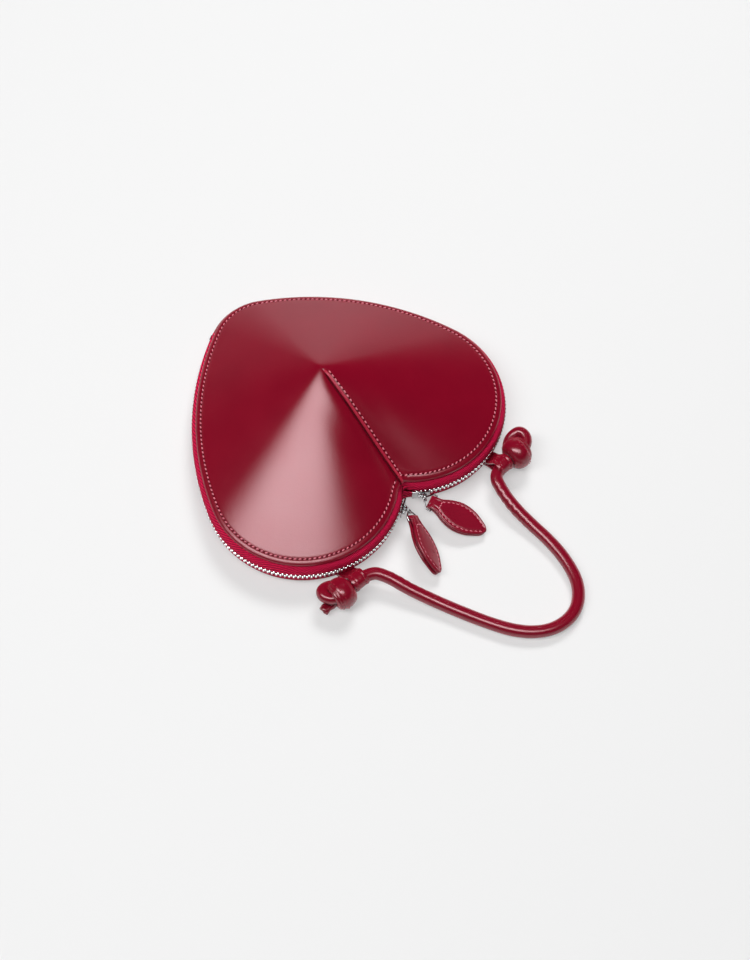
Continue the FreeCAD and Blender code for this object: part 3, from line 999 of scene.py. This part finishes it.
class PURSE_OT_tip_gusset(bpy.types.Operator):
    """Leather gusset at the tip, which bends as the front opens"""

    bl_idname = "purse.tip_gusset"
    bl_label = "Tip gusset"

    # Distance outside the panel's edge and height, from under the front's rim down to the back panel
    rows = ((-0.004, 0.0202), (-0.0006, 0.0197), (0.0008, 0.0194), (0.002, 0.0182), (0.0029, 0.0156),
            (0.0032, 0.012), (0.0029, 0.0084), (0.002, 0.0044), (0.0008, 0.0024), (-0.0006, 0.0021),
            (-0.004, 0.0021))
    thickness = 0.0012
    bend = 0.006

    def execute(self, context):
        bm = bmesh.new()
        loft(bm, [HEART.trace(bm, out, height, HEART.arcs[:1]) for out, height in self.rows], False)
        face_out(bm)
        bmesh.ops.subdivide_edges(bm, edges=bm.edges, cuts=1, use_grid_fill=True)
        bmesh.ops.solidify(bm, geom=bm.faces, thickness=self.thickness)
        face_out(bm)
        piece = add_piece("tip_gusset_leather", bm, material("panel leather"), None,
                          ("tip_gusset_back_half", "tip_gusset_front_half"))
        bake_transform(piece, "back", "front", GUSSET_PIVOT - UP * self.bend, GUSSET_PIVOT + UP * self.bend)
        return {"FINISHED"}


class PURSE_OT_zip_teeth(bpy.types.Operator):
    """Zip teeth: two rows of metal teeth that lie between each other"""

    bl_idname = "purse.zip_teeth"
    bl_label = "Zip teeth"

    depth = 0.0021
    stagger = 0.001
    clear_ends = 0.0042
    clear_notch = 0.0052
    slant = 0.1
    edge = 0.00025
    # In the notch the rows part by this much and are drawn in by this share of its dip
    notch_parting = 0.0012
    notch_share = 0.8

    def execute(self, context):
        rows = {"front": bmesh.new(), "back": bmesh.new()}
        ways = (("front", 1), ("back", -1))
        step = sizes().tooth_pitch / 2
        size = Matrix.Diagonal((sizes().tooth_width, self.depth, sizes().tooth_length, 1))
        lean = Matrix.Rotation(self.slant, 4, "Y")
        places = list(HEART.walk(CHAIN_OUT, step, HEART.zip_arcs))
        skip = round(self.clear_ends / step)
        for i, (point, ahead) in enumerate(places[skip:-skip]):
            if abs(point.x) < self.clear_notch and point.y > 0:
                continue
            body, way = ways[i % 2]
            draw = notch_draw(point)
            lift = CHAIN_HEIGHT + way * (self.stagger + self.notch_parting * draw)
            shift = Vector((0, -NOTCH_DIP, 0)) * draw * self.notch_share
            place = Matrix.Translation(point + UP * lift + shift)
            turn = axes(ahead, UP.cross(ahead), UP) @ lean
            bmesh.ops.create_cube(rows[body], size=1, matrix=place @ turn @ size)
        for body, bm in rows.items():
            piece = add_piece(body + "_row_of_teeth", bm, material("tooth metal"), body,
                              (body + "_zip_teeth",))
            round_edges(piece, self.edge, segments=1)
        paint_nodes(["zip_end_stops"], material("bright metal"))
        return {"FINISHED"}


class PURSE_OT_sliders(bpy.types.Operator):
    """Sliders: two bevelled plates with a crown for the bail, and the rings that hang from it"""

    bl_idname = "purse.sliders"
    bl_label = "Sliders"

    length = 0.0098
    height = 0.0084
    plate = 0.0011
    gap = 0.00135
    taper = 0.72
    nose = 0.0016
    crown = Vector((0.0056, 0.0016, 0.0026))
    # Bridge between the plates: its place and length as shares of the slider's length
    bridge_place = 0.25
    bridge_length = 0.3
    edge = 0.0005

    def execute(self, context):
        centre = (SLIDER_LOW + SLIDER_HIGH) / 2
        radial = Vector((centre.x - HEART.lobe.x, centre.y, 0)).normalized()
        place = HEART.lobe + radial * (LOBE_RADIUS + CHAIN_OUT) + UP * CHAIN_HEIGHT
        for side, sign in SIDES.items():
            bm = bmesh.new()
            pose = mirror(sign) @ Matrix.Translation(place) @ axes(radial.cross(UP), radial, UP)
            for way in (1, -1):
                shift = Matrix.Translation((0, way * (self.gap + self.plate / 2), 0))
                shape = Matrix.Diagonal((self.length, self.plate, self.height, 1))
                made = bmesh.ops.create_cube(bm, size=1, matrix=shift @ shape)["verts"]
                rear = [vert for vert in made if vert.co.x > 0]
                bmesh.ops.scale(bm, vec=(1, 1, self.taper), verts=rear)
                fore = [vert for vert in made if vert.co.x < 0]
                bmesh.ops.translate(bm, vec=(-self.nose, 0, 0), verts=fore)
            bridge = Matrix.Translation((-self.length * self.bridge_place, 0, 0))
            shape = Matrix.Diagonal((self.length * self.bridge_length, 2 * self.gap, self.plate, 1))
            bmesh.ops.create_cube(bm, size=1, matrix=bridge @ shape)
            crown = Matrix.Translation((0, self.gap + self.plate + self.crown.y / 2, 0))
            bmesh.ops.create_cube(bm, size=1, matrix=crown @ Matrix.Diagonal((*self.crown, 1)))
            bmesh.ops.transform(bm, matrix=pose, verts=bm.verts)
            face_out(bm)
            finish = material("bright metal")
            body = side + "_slider"
            piece = add_piece(body + "_body", bm, finish, body, (body,))
            round_edges(piece, self.edge, segments=3)
            paint_nodes([body + "_bail", side + "_ring_link", side + "_pull_frame"], finish)
        return {"FINISHED"}


class PURSE_OT_pulls(bpy.types.Operator):
    """Zip pulls: sewn leather leaves with a folded neck round the wire frame"""

    bl_idname = "purse.pulls"
    bl_label = "Zip pulls"

    bearings = {"right": math.radians(73), "left": math.radians(66)}
    tips = {"right": 0.0058, "left": 0.00254}
    rolls = {"right": math.radians(-50), "left": 0.0}
    start = 0.0039
    length = 0.039
    width = 0.0185
    leaf = 0.0013
    low = 0.00055
    bead = 0.0006
    bead_width = 0.0009
    groove = 0.00045
    groove_width = 0.0007
    inset = 0.0021
    insert_start = 0.007
    insert_inset = 0.0008
    neck_length = 0.0036
    # Neck's shift back and its rounding, as shares of its thickness
    neck_back = 0.3
    neck_round = 0.45
    neck_segments = 5
    # Share of the length over which the face's relief comes in
    neck_share = 0.12
    sewn = StitchSize(0.0019, 0.00075, 0.0007)
    slant = 0.2
    stitch_pitch = 0.003
    stitch_start = 0.0075
    stitch_end = 0.00252
    # Row of stitches across the neck: places across, and share of the length before the first stitch
    neck_stitches = (-0.36, 0, 0.36)
    neck_row = 0.03
    # Outline: share of the length and share of the width
    shares = ((0, 0.42), (0.14, 0.5), (0.32, 0.84), (0.5, 1), (0.7, 0.89), (0.87, 0.56), (1, 0.24))
    tip_share = 0.93
    probe = 0.01
    # Leaf's mesh: cells along and across, and the power by which they crowd towards the tip
    cells_along = 44
    cells_across = 28
    crowding = 1.8

    def half(self, share):
        """Half the leaf's width at a share of its length, rounded off at the tip."""
        end = max((share - self.tip_share) / (1 - self.tip_share), 0)
        return along_table(self.shares, min(share, 1)) * self.width / 2 * math.sqrt(max(1 - end * end, 0))

    def crown(self, share, across):
        """Rise of the leaf's face: a padded edge with a sewn groove inside it."""
        from_side = (1 - abs(across)) * self.half(share)
        from_edge = min(from_side, (1 - share) * self.length)
        groove = self.groove * math.exp(-((from_edge - self.inset) / self.groove_width) ** 2)
        bead = self.bead * smooth(0, self.bead_width, from_edge)
        return (bead - groove) * smooth(0, self.neck_share, share)

    def pose(self, side):
        """Frame of the pull on the right slider, flipped for the left one: X along, Y across, Z out."""
        joint = JOINTS[side + "_pull_swing"]["pos_m"]
        pivot = Vector((abs(joint[0]), joint[1], joint[2]))
        droop = math.asin((pivot.z - self.tips[side]) / (self.start + self.length))
        level = bearing(self.bearings[side])
        way = level * math.cos(droop) - UP * math.sin(droop)
        across = Matrix.Rotation(self.rolls[side], 3, way) @ UP.cross(level)
        return mirror(SIDES[side]) @ Matrix.Translation(pivot) @ axes(way, across, way.cross(across))

    def leaf_solid(self, bm, height, thickness, face, inset=0, start=0):
        """Grid drawn to the leaf's outline, shaped on one face and given its thickness behind it."""
        made = bmesh.ops.create_grid(bm, x_segments=self.cells_along, y_segments=self.cells_across,
                                     size=1)["verts"]
        for vert in made:
            share = (vert.co.x + 1) / 2
            share = start + (1 - start) * (1 - (1 - share) ** self.crowding)
            across = math.sin(vert.co.y * math.pi / 2)
            half = max(self.half(share) - inset, 0)
            rise = face * self.crown(share, across)
            vert.co = Vector((self.start + share * (self.length - inset), across * half, height + rise))
        bmesh.ops.remove_doubles(bm, verts=made, dist=TINY)
        made = [vert for vert in made if vert.is_valid]
        faces = list(dict.fromkeys(part for vert in made for part in vert.link_faces))
        if face < 0:
            bmesh.ops.reverse_faces(bm, faces=faces)
        bmesh.ops.solidify(bm, geom=faces, thickness=thickness)

    def neck(self, bm):
        """Rounded fold of leather round the frame's bar."""
        full = 2 * (self.low + self.leaf)
        across = self.width * self.shares[0][1]
        fold = Matrix.Translation((self.start + self.neck_length / 2 - full * self.neck_back, 0, 0))
        shape = Matrix.Diagonal((self.neck_length, across, full, 1))
        cube = bmesh.ops.create_cube(bm, size=1, matrix=fold @ shape)["verts"]
        front = ring_edges([vert for vert in cube if vert.co.x < self.start])
        front = [edge for edge in front if abs(edge.verts[0].co.z - edge.verts[1].co.z) < TINY]
        bmesh.ops.bevel(bm, geom=front, offset=full * self.neck_round, segments=self.neck_segments,
                        profile=0.5, affect="EDGES", material=-1)

    def sew(self, bm, face):
        """Closed line of stitches inside the edge of one face, with a row across the neck."""
        def lay(share, across, ahead):
            rise = face * (self.low + self.leaf + self.crown(share, across))
            place = Vector((self.start + share * self.length, across * self.half(share), rise))
            stitch(bm, place, ahead, UP * face, self.sewn, self.slant)
        for way in (1, -1):
            along = self.stitch_start
            while along < self.length - self.stitch_end:
                share = along / self.length
                rise = self.half(share + self.probe) - self.half(share)
                ahead = Vector((self.probe * self.length, way * rise, 0))
                lay(share, way * max(1 - self.inset / self.half(share), 0), ahead)
                along += self.stitch_pitch * math.cos(heading(ahead))
        for across in self.neck_stitches:
            lay(self.stitch_start / self.length - self.neck_row, across, Vector((0, 1, 0)))

    def execute(self, context):
        for side in SIDES:
            pose = self.pose(side)
            leaves, core, sewn = [bmesh.new() for _ in range(3)]
            for face in (1, -1):
                self.leaf_solid(leaves, face * (self.low + self.leaf), self.leaf, face)
                self.sew(sewn, face)
            self.neck(leaves)
            self.leaf_solid(core, self.low, 2 * self.low, 0, self.insert_inset,
                            self.insert_start / self.length)
            for bm in (leaves, core, sewn):
                bmesh.ops.transform(bm, matrix=pose, verts=bm.verts)
                face_out(bm)
            body = side + "_pull"
            add_piece(body + "_leather", leaves, material("pull leather"), body,
                      (body + "_front_leaf", body + "_back_leaf"))
            add_piece(body + "_core", core, material("edge paint"), body, (body + "_insert",))
            add_piece(body + "_stitches", sewn, material("stitch thread"), body)
        return {"FINISHED"}


class PURSE_OT_handle(bpy.types.Operator):
    """Rolled leather handle on its route from knot to knot"""

    bl_idname = "purse.handle"
    bl_label = "Handle"

    radius = 0.00395
    reach = 0.101
    floor = 0.00405
    sides = 28
    smoothness = 14
    # Course from loop to loop: shares of the loops' distance, of the reach and of the loops' height
    shares = (
        (0.85, 0, 1), (0.735, 0.1, 0.8), (0.658, 0.228, 0.45), (0.558, 0.356, 0.14), (0.458, 0.485, 0.02),
        (0.292, 0.693, 0), (0.1, 0.881, 0.008), (-0.167, 0.995, 0), (-0.467, 1, 0.008), (-0.692, 0.891, 0),
        (-0.792, 0.718, 0.008), (-0.815, 0.545, 0.008), (-0.797, 0.386, 0.09), (-0.785, 0.257, 0.42),
        (-0.8, 0.135, 0.755), (-0.865, 0, 1),
    )
    wrinkle = 0.0002
    wrinkle_pitch = 0.0052
    # Distances from the handle's ends between which the wrinkles come in, and die away again
    wrinkle_in = (0.012, 0.02)
    wrinkle_out = (0.035, 0.062)
    sway = 2
    sway_scale = 160
    uneven = 0.00012
    uneven_scale = 90

    def route(self):
        ends = [HANDLE_PIVOT + ACROSS * KNOT_START, HANDLE_PIVOT - ACROSS * KNOT_START]
        level = HANDLE_PIVOT.z - self.floor
        course = []
        for across, reach, lift in self.shares:
            ahead = HANDLE_PIVOT.y + self.reach * reach
            course.append(Vector((LOOP_ACROSS * across, ahead, self.floor + level * lift)))
        return [ends[0], *course, ends[1]]

    def execute(self, context):
        bm = bmesh.new()
        rings = tube(bm, spline_points(self.route(), self.smoothness), self.radius, self.sides)
        bm.normal_update()
        along = bm.verts.layers.float["along"]
        full = max(vert[along] for vert in rings[-1])
        inside = Vector((0, HANDLE_PIVOT.y + self.reach / 2, 0))
        for vert in bm.verts:
            end = min(vert[along], full - vert[along])
            fade = smooth(*self.wrinkle_in, end) * (1 - smooth(*self.wrinkle_out, end))
            to_inside = (inside - Vector((vert.co.x, vert.co.y, 0))).normalized()
            facing = max(vert.normal.dot(to_inside), 0)
            sway = self.sway * noise.noise(vert.co * self.sway_scale)
            wave = math.sin(2 * math.pi * vert[along] / self.wrinkle_pitch + sway)
            vert.co += vert.normal * self.wrinkle * wave * fade * facing
            vert.co += vert.normal * self.uneven * noise.noise(vert.co * self.uneven_scale)
        close_ends(bm)
        face_out(bm)
        add_piece("handle_roll", bm, material("handle leather"), "handle",
                  ("handle_sleeve", "handle_core"))
        return {"FINISHED"}


class PURSE_OT_knots(bpy.types.Operator):
    """Knots: a fat wrap of leather, a second turn behind it and a crumpled cut tail"""

    bl_idname = "purse.knots"
    bl_label = "Knots"

    # Wrap: distance along the handle from the knot's start, and radius, with folds at the outer end
    wrap_rows = ((0.0006, 0.0036), (0.0001, 0.0052), (0.0006, 0.0072), (0.0022, 0.0091), (0.0045, 0.01),
                 (0.0068, 0.0104), (0.009, 0.0101), (0.0104, 0.0095), (0.0108, 0.009), (0.0112, 0.0092),
                 (0.0118, 0.0089), (0.0121, 0.0082), (0.0125, 0.0083), (0.0132, 0.0076), (0.0135, 0.0062),
                 (0.0131, 0.0046), (0.012, 0.003))
    wrap_sides = 56
    # Wrap's lean, and the distances along the handle between which it comes in
    lean = 0.0008
    lean_rows = (0.004, 0.012)
    smoothness = 6
    # Second turn: a roll that leaves the wrap's outer end, turns back on the purse's side and goes in again
    turn_routes = {
        "right": ((0.008, 0.002, 0.0015), (0.014, 0.0008, 0.002), (0.0172, -0.0035, 0.0024),
                  (0.0164, -0.0082, 0.0018), (0.011, -0.0096, -0.0005), (0.006, -0.0075, -0.003)),
        "left": ((0.009, 0.002, 0.0015), (0.0145, 0.0005, 0.003), (0.0182, -0.004, 0.0042),
                 (0.0175, -0.0092, 0.0042), (0.0125, -0.0106, 0.0025), (0.008, -0.0096, -0.002),
                 (0.005, -0.006, -0.004)),
    }
    turn_radius = 0.0036
    turn_sides = 20
    tail_routes = {
        "right": ((0.009, 0.001, -0.0035), (0.0135, -0.0005, -0.0058), (0.0175, -0.001, -0.0066),
                  (0.0215, -0.0005, -0.0068)),
        "left": ((0.008, 0, -0.003), (0.0115, -0.001, -0.0048), (0.0145, -0.003, -0.0062),
                 (0.0175, -0.0055, -0.0066)),
    }
    tail_radius = 0.0033
    tail_sides = 24
    tail_flat = 0.78
    # Tail's cut edge turned in: scale and shift along the handle of each ring after the last
    tail_edge = ((0.72, 0), (0.6, -0.0022))
    # Crumples of the rolls and of the tail: depth and scale
    roll_crumple = (0.0003, 90)
    tail_crumple = (0.0009, 330)
    sewn = StitchSize(0.0017, 0.0006, 0.0005)
    sewn_along = 0.0092
    sewn_radius = 0.0101
    sewn_count = 22

    def wrap(self, bm, sign):
        turned(bm, [(along, 0, radius) for along, radius in self.wrap_rows], ACROSS, self.wrap_sides)
        for vert in bm.verts:
            angle = math.atan2(vert.co.z, vert.co.y)
            vert.co.x += self.lean * math.sin(angle + sign) * smooth(*self.lean_rows, vert.co.x)

    def tail(self, bm, side):
        """Cut end of the roll, flattened, with its edge turned in."""
        route = spline_points(self.tail_routes[side], self.smoothness)
        rings = tube(bm, route, self.tail_radius, self.tail_sides)
        for ring in rings:
            scale_ring(bm, ring, (1, 1, self.tail_flat))
        edges = ring_edges(rings[-1])
        for scale, shift in self.tail_edge:
            verts, edges = extrude(bm, edges)
            scale_ring(bm, verts, (1, scale, scale))
            bmesh.ops.translate(bm, vec=(shift, 0, 0), verts=verts)
        bmesh.ops.contextual_create(bm, geom=edges)

    def seam(self, side, place):
        """Stitches round the outer edge of the wrap."""
        bm = bmesh.new()
        for i in range(self.sewn_count):
            angle = 2 * math.pi * i / self.sewn_count
            out = Vector((0, math.cos(angle), math.sin(angle)))
            ahead = Vector((0, -math.sin(angle), math.cos(angle)))
            stitch(bm, ACROSS * self.sewn_along + out * self.sewn_radius, ahead, out, self.sewn)
        bmesh.ops.transform(bm, matrix=place, verts=bm.verts)
        face_out(bm)
        add_piece(side + "_knot_stitches", bm, material("worn edge"), "handle")

    def execute(self, context):
        for side, sign in SIDES.items():
            bm = bmesh.new()
            self.wrap(bm, sign)
            route = spline_points(self.turn_routes[side], self.smoothness)
            tube(bm, route, self.turn_radius, self.turn_sides)
            rolled = len(bm.verts)
            self.tail(bm, side)
            bm.verts.ensure_lookup_table()
            face_out(bm)
            bm.normal_update()
            for i, vert in enumerate(bm.verts):
                depth, scale = self.roll_crumple if i < rolled else self.tail_crumple
                vert.co += vert.normal * depth * noise.noise(vert.co * scale + ACROSS * sign)
            place = mirror(sign) @ Matrix.Translation(HANDLE_PIVOT + ACROSS * KNOT_START)
            bmesh.ops.transform(bm, matrix=place, verts=bm.verts)
            close_ends(bm)
            face_out(bm)
            add_piece(side + "_knot_leather", bm, material("handle leather"), "handle",
                      (side + "_handle_knot",))
            self.seam(side, place)
        return {"FINISHED"}


class PURSE_OT_loops(bpy.types.Operator):
    """Strap loops: leather straps from under the zip, round the handle and back"""

    bl_idname = "purse.loops"
    bl_label = "Strap loops"

    width = 0.0098
    thickness = 0.0012
    radius = 0.005
    # Course over the purse's edge: points of the lower and upper layers, and degrees round the handle
    lower = ((0, 0.056, 0.0012), (0, 0.06, 0.0022), (0, 0.0632, 0.0048), (0, 0.0668, 0.0062))
    upper = ((0, 0.0672, 0.0136), (0, 0.0656, 0.011), (0, 0.0642, 0.0088), (0, 0.0626, 0.007),
             (0, 0.06, 0.005), (0, 0.0565, 0.0028))
    turn = range(-100, 150, 35)
    smoothness = 6
    columns = 18
    # Raised line and sewn valley along each side: share of the half width, spread and strength
    bead = 0.00038
    ridges = ((0.78, 0.1, 1), (0.6, 0.09, -0.7))
    crease = 0.0001
    crease_scale = Vector((500, 130, 130))
    crease_seed = 7
    # Above this height the strap's root keeps this far outside the tape's face
    root_height = 0.0016
    root_out = 0.0004
    edge = 0.0003
    edge_angle = 0.9
    sewn = StitchSize(0.0015, 0.0006, 0.0005)
    sewn_pitch = 0.0027
    sewn_share = 0.58
    # Stitches end this far below the handle's axis, and where the strap's face turns down past this slope
    sewn_drop = 0.004
    sewn_slope = -0.3

    def course(self):
        points = list(self.lower)
        for degrees in self.turn:
            angle = math.radians(degrees)
            points.append(HANDLE_PIVOT + Vector((0, math.cos(angle), math.sin(angle))) * self.radius)
        return spline_points(points + list(self.upper), self.smoothness)

    def tape_face(self, across, height):
        """Place outwards of the tape's outer face, at a place across the purse and a height."""
        rows = [(level, out) for out, level, draw in PURSE_OT_zip_tapes.back_rows[2:]]
        out = along_table(rows, min(max(height, rows[0][0]), rows[-1][0]))
        return math.sqrt((LOBE_RADIUS + out) ** 2 - (across - HEART.lobe.x) ** 2)

    def strap(self, bm):
        """Sheet along the course on the right, facing away from the handle."""
        start = ACROSS * (LOOP_ACROSS - self.width / 2)
        chain, edges = line(bm, [point + start for point in self.course()])
        for _ in range(self.columns):
            chain, edges = extrude(bm, edges)
            bmesh.ops.translate(bm, vec=(self.width / self.columns, 0, 0), verts=chain)
        face_out(bm)
        bm.normal_update()
        centre = HANDLE_PIVOT + ACROSS * LOOP_ACROSS
        if sum((vert.co - centre).dot(vert.normal) for vert in bm.verts) < 0:
            bmesh.ops.reverse_faces(bm, faces=bm.faces)
            bm.normal_update()

    def relief(self, vert, sign):
        """Rise of the strap's face: its raised lines, and creases that differ from side to side."""
        share = abs(vert.co.x - LOOP_ACROSS) / (self.width / 2)
        ridge = 0
        for middle, spread, rise in self.ridges:
            ridge += rise * math.exp(-((share - middle) / spread) ** 2)
        fold = noise.noise(vert.co * self.crease_scale + UP * self.crease_seed * sign)
        return self.bead * ridge + self.crease * fold

    def sew(self, side, sign):
        """Two rows of stitches along the strap's outer face, from the roll back to the root."""
        bm = bmesh.new()
        points = self.course()
        spent = 0
        for before, point, after in zip(points, points[1:], points[2:]):
            spent += (point - before).length
            ahead = (after - before).normalized()
            normal = ahead.cross(ACROSS)
            if (point - HANDLE_PIVOT).dot(normal) < 0:
                normal = -normal
            on_top = point.z > HANDLE_PIVOT.z - self.sewn_drop and normal.z > self.sewn_slope
            if not on_top or spent < self.sewn_pitch:
                continue
            spent = 0
            for share in (-self.sewn_share, self.sewn_share):
                across = ACROSS * (LOOP_ACROSS + share * self.width / 2)
                stitch(bm, point + across + normal * self.thickness / 2, ahead, normal, self.sewn)
        bmesh.ops.transform(bm, matrix=mirror(sign), verts=bm.verts)
        face_out(bm)
        add_piece(side + "_strap_stitches", bm, material("worn edge"), "back")

    def execute(self, context):
        for side, sign in SIDES.items():
            bm = bmesh.new()
            self.strap(bm)
            for vert in bm.verts:
                vert.co += vert.normal * self.relief(vert, sign)
                if vert.co.z > self.root_height:
                    vert.co.y = max(vert.co.y, self.tape_face(vert.co.x, vert.co.z) + self.root_out)
            bmesh.ops.transform(bm, matrix=mirror(sign), verts=bm.verts)
            if sign < 0:
                bmesh.ops.reverse_faces(bm, faces=bm.faces)
            strap = add_piece(side + "_strap_loop", bm, material("handle leather"), "back",
                              (side + "_handle_loop",))
            thicken(strap, self.thickness, offset=0)
            round_edges(strap, self.edge, segments=2, angle=self.edge_angle)
            self.sew(side, sign)
        return {"FINISHED"}


class PURSE_OT_linings(bpy.types.Operator):
    """Linings and stiffening boards, kept as they are with their own cloth and fibre"""

    bl_idname = "purse.linings"
    bl_label = "Linings"

    def execute(self, context):
        paint_nodes(["front_lining", "back_lining"], material("lining cloth"))
        paint_nodes(["front_board", "back_board"], material("fibre board"))
        return {"FINISHED"}


class PURSE_OT_stage(bpy.types.Operator):
    """Pale floor, soft studio light and the camera"""

    bl_idname = "purse.stage"
    bl_label = "Stage"

    floor_radius = 3.0
    floor_drop = 0.0003
    wall_bend = 0.12
    wall_height = 1.5
    wall_lit = 0.4
    wall_dark = 1.0
    glow_share = 0.4
    shade_full = 0.5
    shade_reach = 1.1
    floor_sides = 96
    paper_level = 0.915
    dark_share = 0.03
    target = Vector((0.007, 0.026, 0.010))
    world_level = 0.02
    sensor_height = 36
    # Lamps: way from the target, way of the long side, distance, width, height, radiance, mirrored or not
    lamps = {
        "softbox": (
            Vector((0.355, 0.025, 0.935)), Vector((-0.592, 0.779, 0.204)), 1.7, 2.7, 0.95, 9.8, True),
        "rear_softbox": (
            Vector((-0.52, -0.38, 0.765)), Vector((-0.59, 0.81, 0)), 2.2, 1.3, 1.0, 25.0, False),
    }

    def paper(self):
        """Pale paper that looks evenly lit, also in reflections, and keeps its share of the shadow."""
        finish = Finish(bpy.data.materials.new("studio paper"))
        east, north, height = finish.split(finish.object_place())
        near = finish.fade_out(east * east + north * north, self.shade_full ** 2, self.shade_reach ** 2)
        low = finish.fade_out(height, self.wall_lit, self.wall_dark)
        path = finish.node("ShaderNodeLightPath", {}, {})
        rays = ("Is Camera Ray", "Is Glossy Ray", "Is Transmission Ray")
        camera, glossy, passed = [Signal(finish, path.outputs[ray]) for ray in rays]
        share = camera * (1 - near * (1 - self.glow_share)) + (glossy + passed) * low * self.glow_share
        tint = finish.mix(low, rgba(finishes().floor, gain=self.dark_share), rgba(finishes().floor))
        lit = finish.signal("ShaderNodeBsdfPrincipled", {}, {
            "Base Color": tint, "Roughness": 0.9, "Specular IOR Level": 0.1})
        level = self.paper_level
        glow = finish.signal("ShaderNodeEmission", {}, {"Color": (level, level, level, 1), "Strength": 1.0})
        mixed = finish.signal("ShaderNodeMixShader", {}, {0: share, 1: lit, 2: glow})
        finish.node("ShaderNodeOutputMaterial", {}, {"Surface": mixed})
        return finish.owner

    def floor(self):
        """Round floor that bends up into a wall all round."""
        bm = bmesh.new()
        wall = self.floor_radius + self.wall_bend
        rows = ((0, -self.floor_drop), (self.floor_radius, -self.floor_drop), (wall, self.wall_bend),
                (wall, self.wall_height))
        turned(bm, [(out, 0, height) for out, height in rows], UP, self.floor_sides)
        face_out(bm)
        mesh_object("studio_floor", bm, self.paper())

    def lamp(self, name, way, long_side, distance, width, height, radiance, glossy):
        """Soft box whose light fades towards its edges."""
        light = bpy.data.lights.new(name, "AREA")
        light.shape = "RECTANGLE"
        light.size = width
        light.size_y = height
        light.energy = radiance * width * height * math.pi
        glow = Finish(light)
        x, y, _ = glow.split(glow.signal("ShaderNodeNewGeometry", {}, {}, "Parametric"))
        across = x * 2 - 1
        along = y * 2 - 1
        firm = across * across
        fade = glow.signal("ShaderNodeClamp", {}, {"Value": 1 - firm * firm - along * along})
        lit = glow.signal("ShaderNodeEmission", {}, {"Color": (1, 1, 1, 1), "Strength": fade * fade})
        glow.node("ShaderNodeOutputLight", {}, {"Surface": lit})
        lamp = bpy.data.objects.new(name, light)
        lamp.visible_camera = False
        lamp.visible_glossy = glossy
        ahead = way.normalized()
        lamp.location = self.target + ahead * distance
        short_side = ahead.cross(long_side).normalized()
        lamp.rotation_euler = axes(short_side.cross(ahead), short_side, ahead).to_euler()
        bpy.context.scene.collection.objects.link(lamp)

    def camera(self):
        data = bpy.data.cameras.new("camera")
        data.sensor_fit = "VERTICAL"
        data.sensor_height = self.sensor_height
        data.lens = sizes().camera_lens
        azimuth = sizes().camera_azimuth
        level = Vector((-math.sin(azimuth), math.cos(azimuth), 0))
        way = -level * math.cos(sizes().camera_elevation) + UP * math.sin(sizes().camera_elevation)
        camera = bpy.data.objects.new("camera", data)
        camera.location = self.target + way * sizes().camera_distance
        camera.rotation_euler = way.to_track_quat("Z", "Y").to_euler()
        bpy.context.scene.collection.objects.link(camera)
        bpy.context.scene.camera = camera

    def world(self):
        """Faint even light from all round."""
        sky = Finish(bpy.data.worlds.new("studio"))
        light = sky.signal("ShaderNodeBackground", {}, {"Color": (1, 1, 1, 1), "Strength": self.world_level})
        sky.node("ShaderNodeOutputWorld", {}, {"Surface": light})
        bpy.context.scene.world = sky.owner

    def execute(self, context):
        self.floor()
        for name, values in self.lamps.items():
            self.lamp(name, *values)
        self.camera()
        self.world()
        context.scene.view_settings.view_transform = "Standard"
        return {"FINISHED"}


OPERATORS = (
    PURSE_OT_front_panel, PURSE_OT_back_panel, PURSE_OT_stitching, PURSE_OT_zip_tapes, PURSE_OT_tip_gusset,
    PURSE_OT_zip_teeth, PURSE_OT_sliders, PURSE_OT_pulls, PURSE_OT_handle, PURSE_OT_knots, PURSE_OT_loops,
    PURSE_OT_linings, PURSE_OT_stage,
)


class PURSE_PT_pieces(bpy.types.Panel):
    """List of the purse's pieces in the sidebar"""

    bl_label = "Heart purse"
    bl_idname = "PURSE_PT_pieces"
    bl_space_type = "VIEW_3D"
    bl_region_type = "UI"
    bl_category = "Purse"

    def draw(self, context):
        for operator in OPERATORS:
            self.layout.operator(operator.bl_idname)


CLASSES = (PurseFinishes, PurseSizes) + OPERATORS + (PURSE_PT_pieces,)


def register():
    for cls in CLASSES:
        bpy.utils.register_class(cls)
    bpy.types.Scene.purse_finishes = PointerProperty(type=PurseFinishes)
    bpy.types.Scene.purse_sizes = PointerProperty(type=PurseSizes)


def unregister():
    del bpy.types.Scene.purse_sizes
    del bpy.types.Scene.purse_finishes
    for cls in reversed(CLASSES):
        bpy.utils.unregister_class(cls)


def main():
    register()
    for operator in OPERATORS:
        group, name = operator.bl_idname.split(".")
        getattr(getattr(bpy.ops, group), name)()


if __name__ == "__main__":
    main()
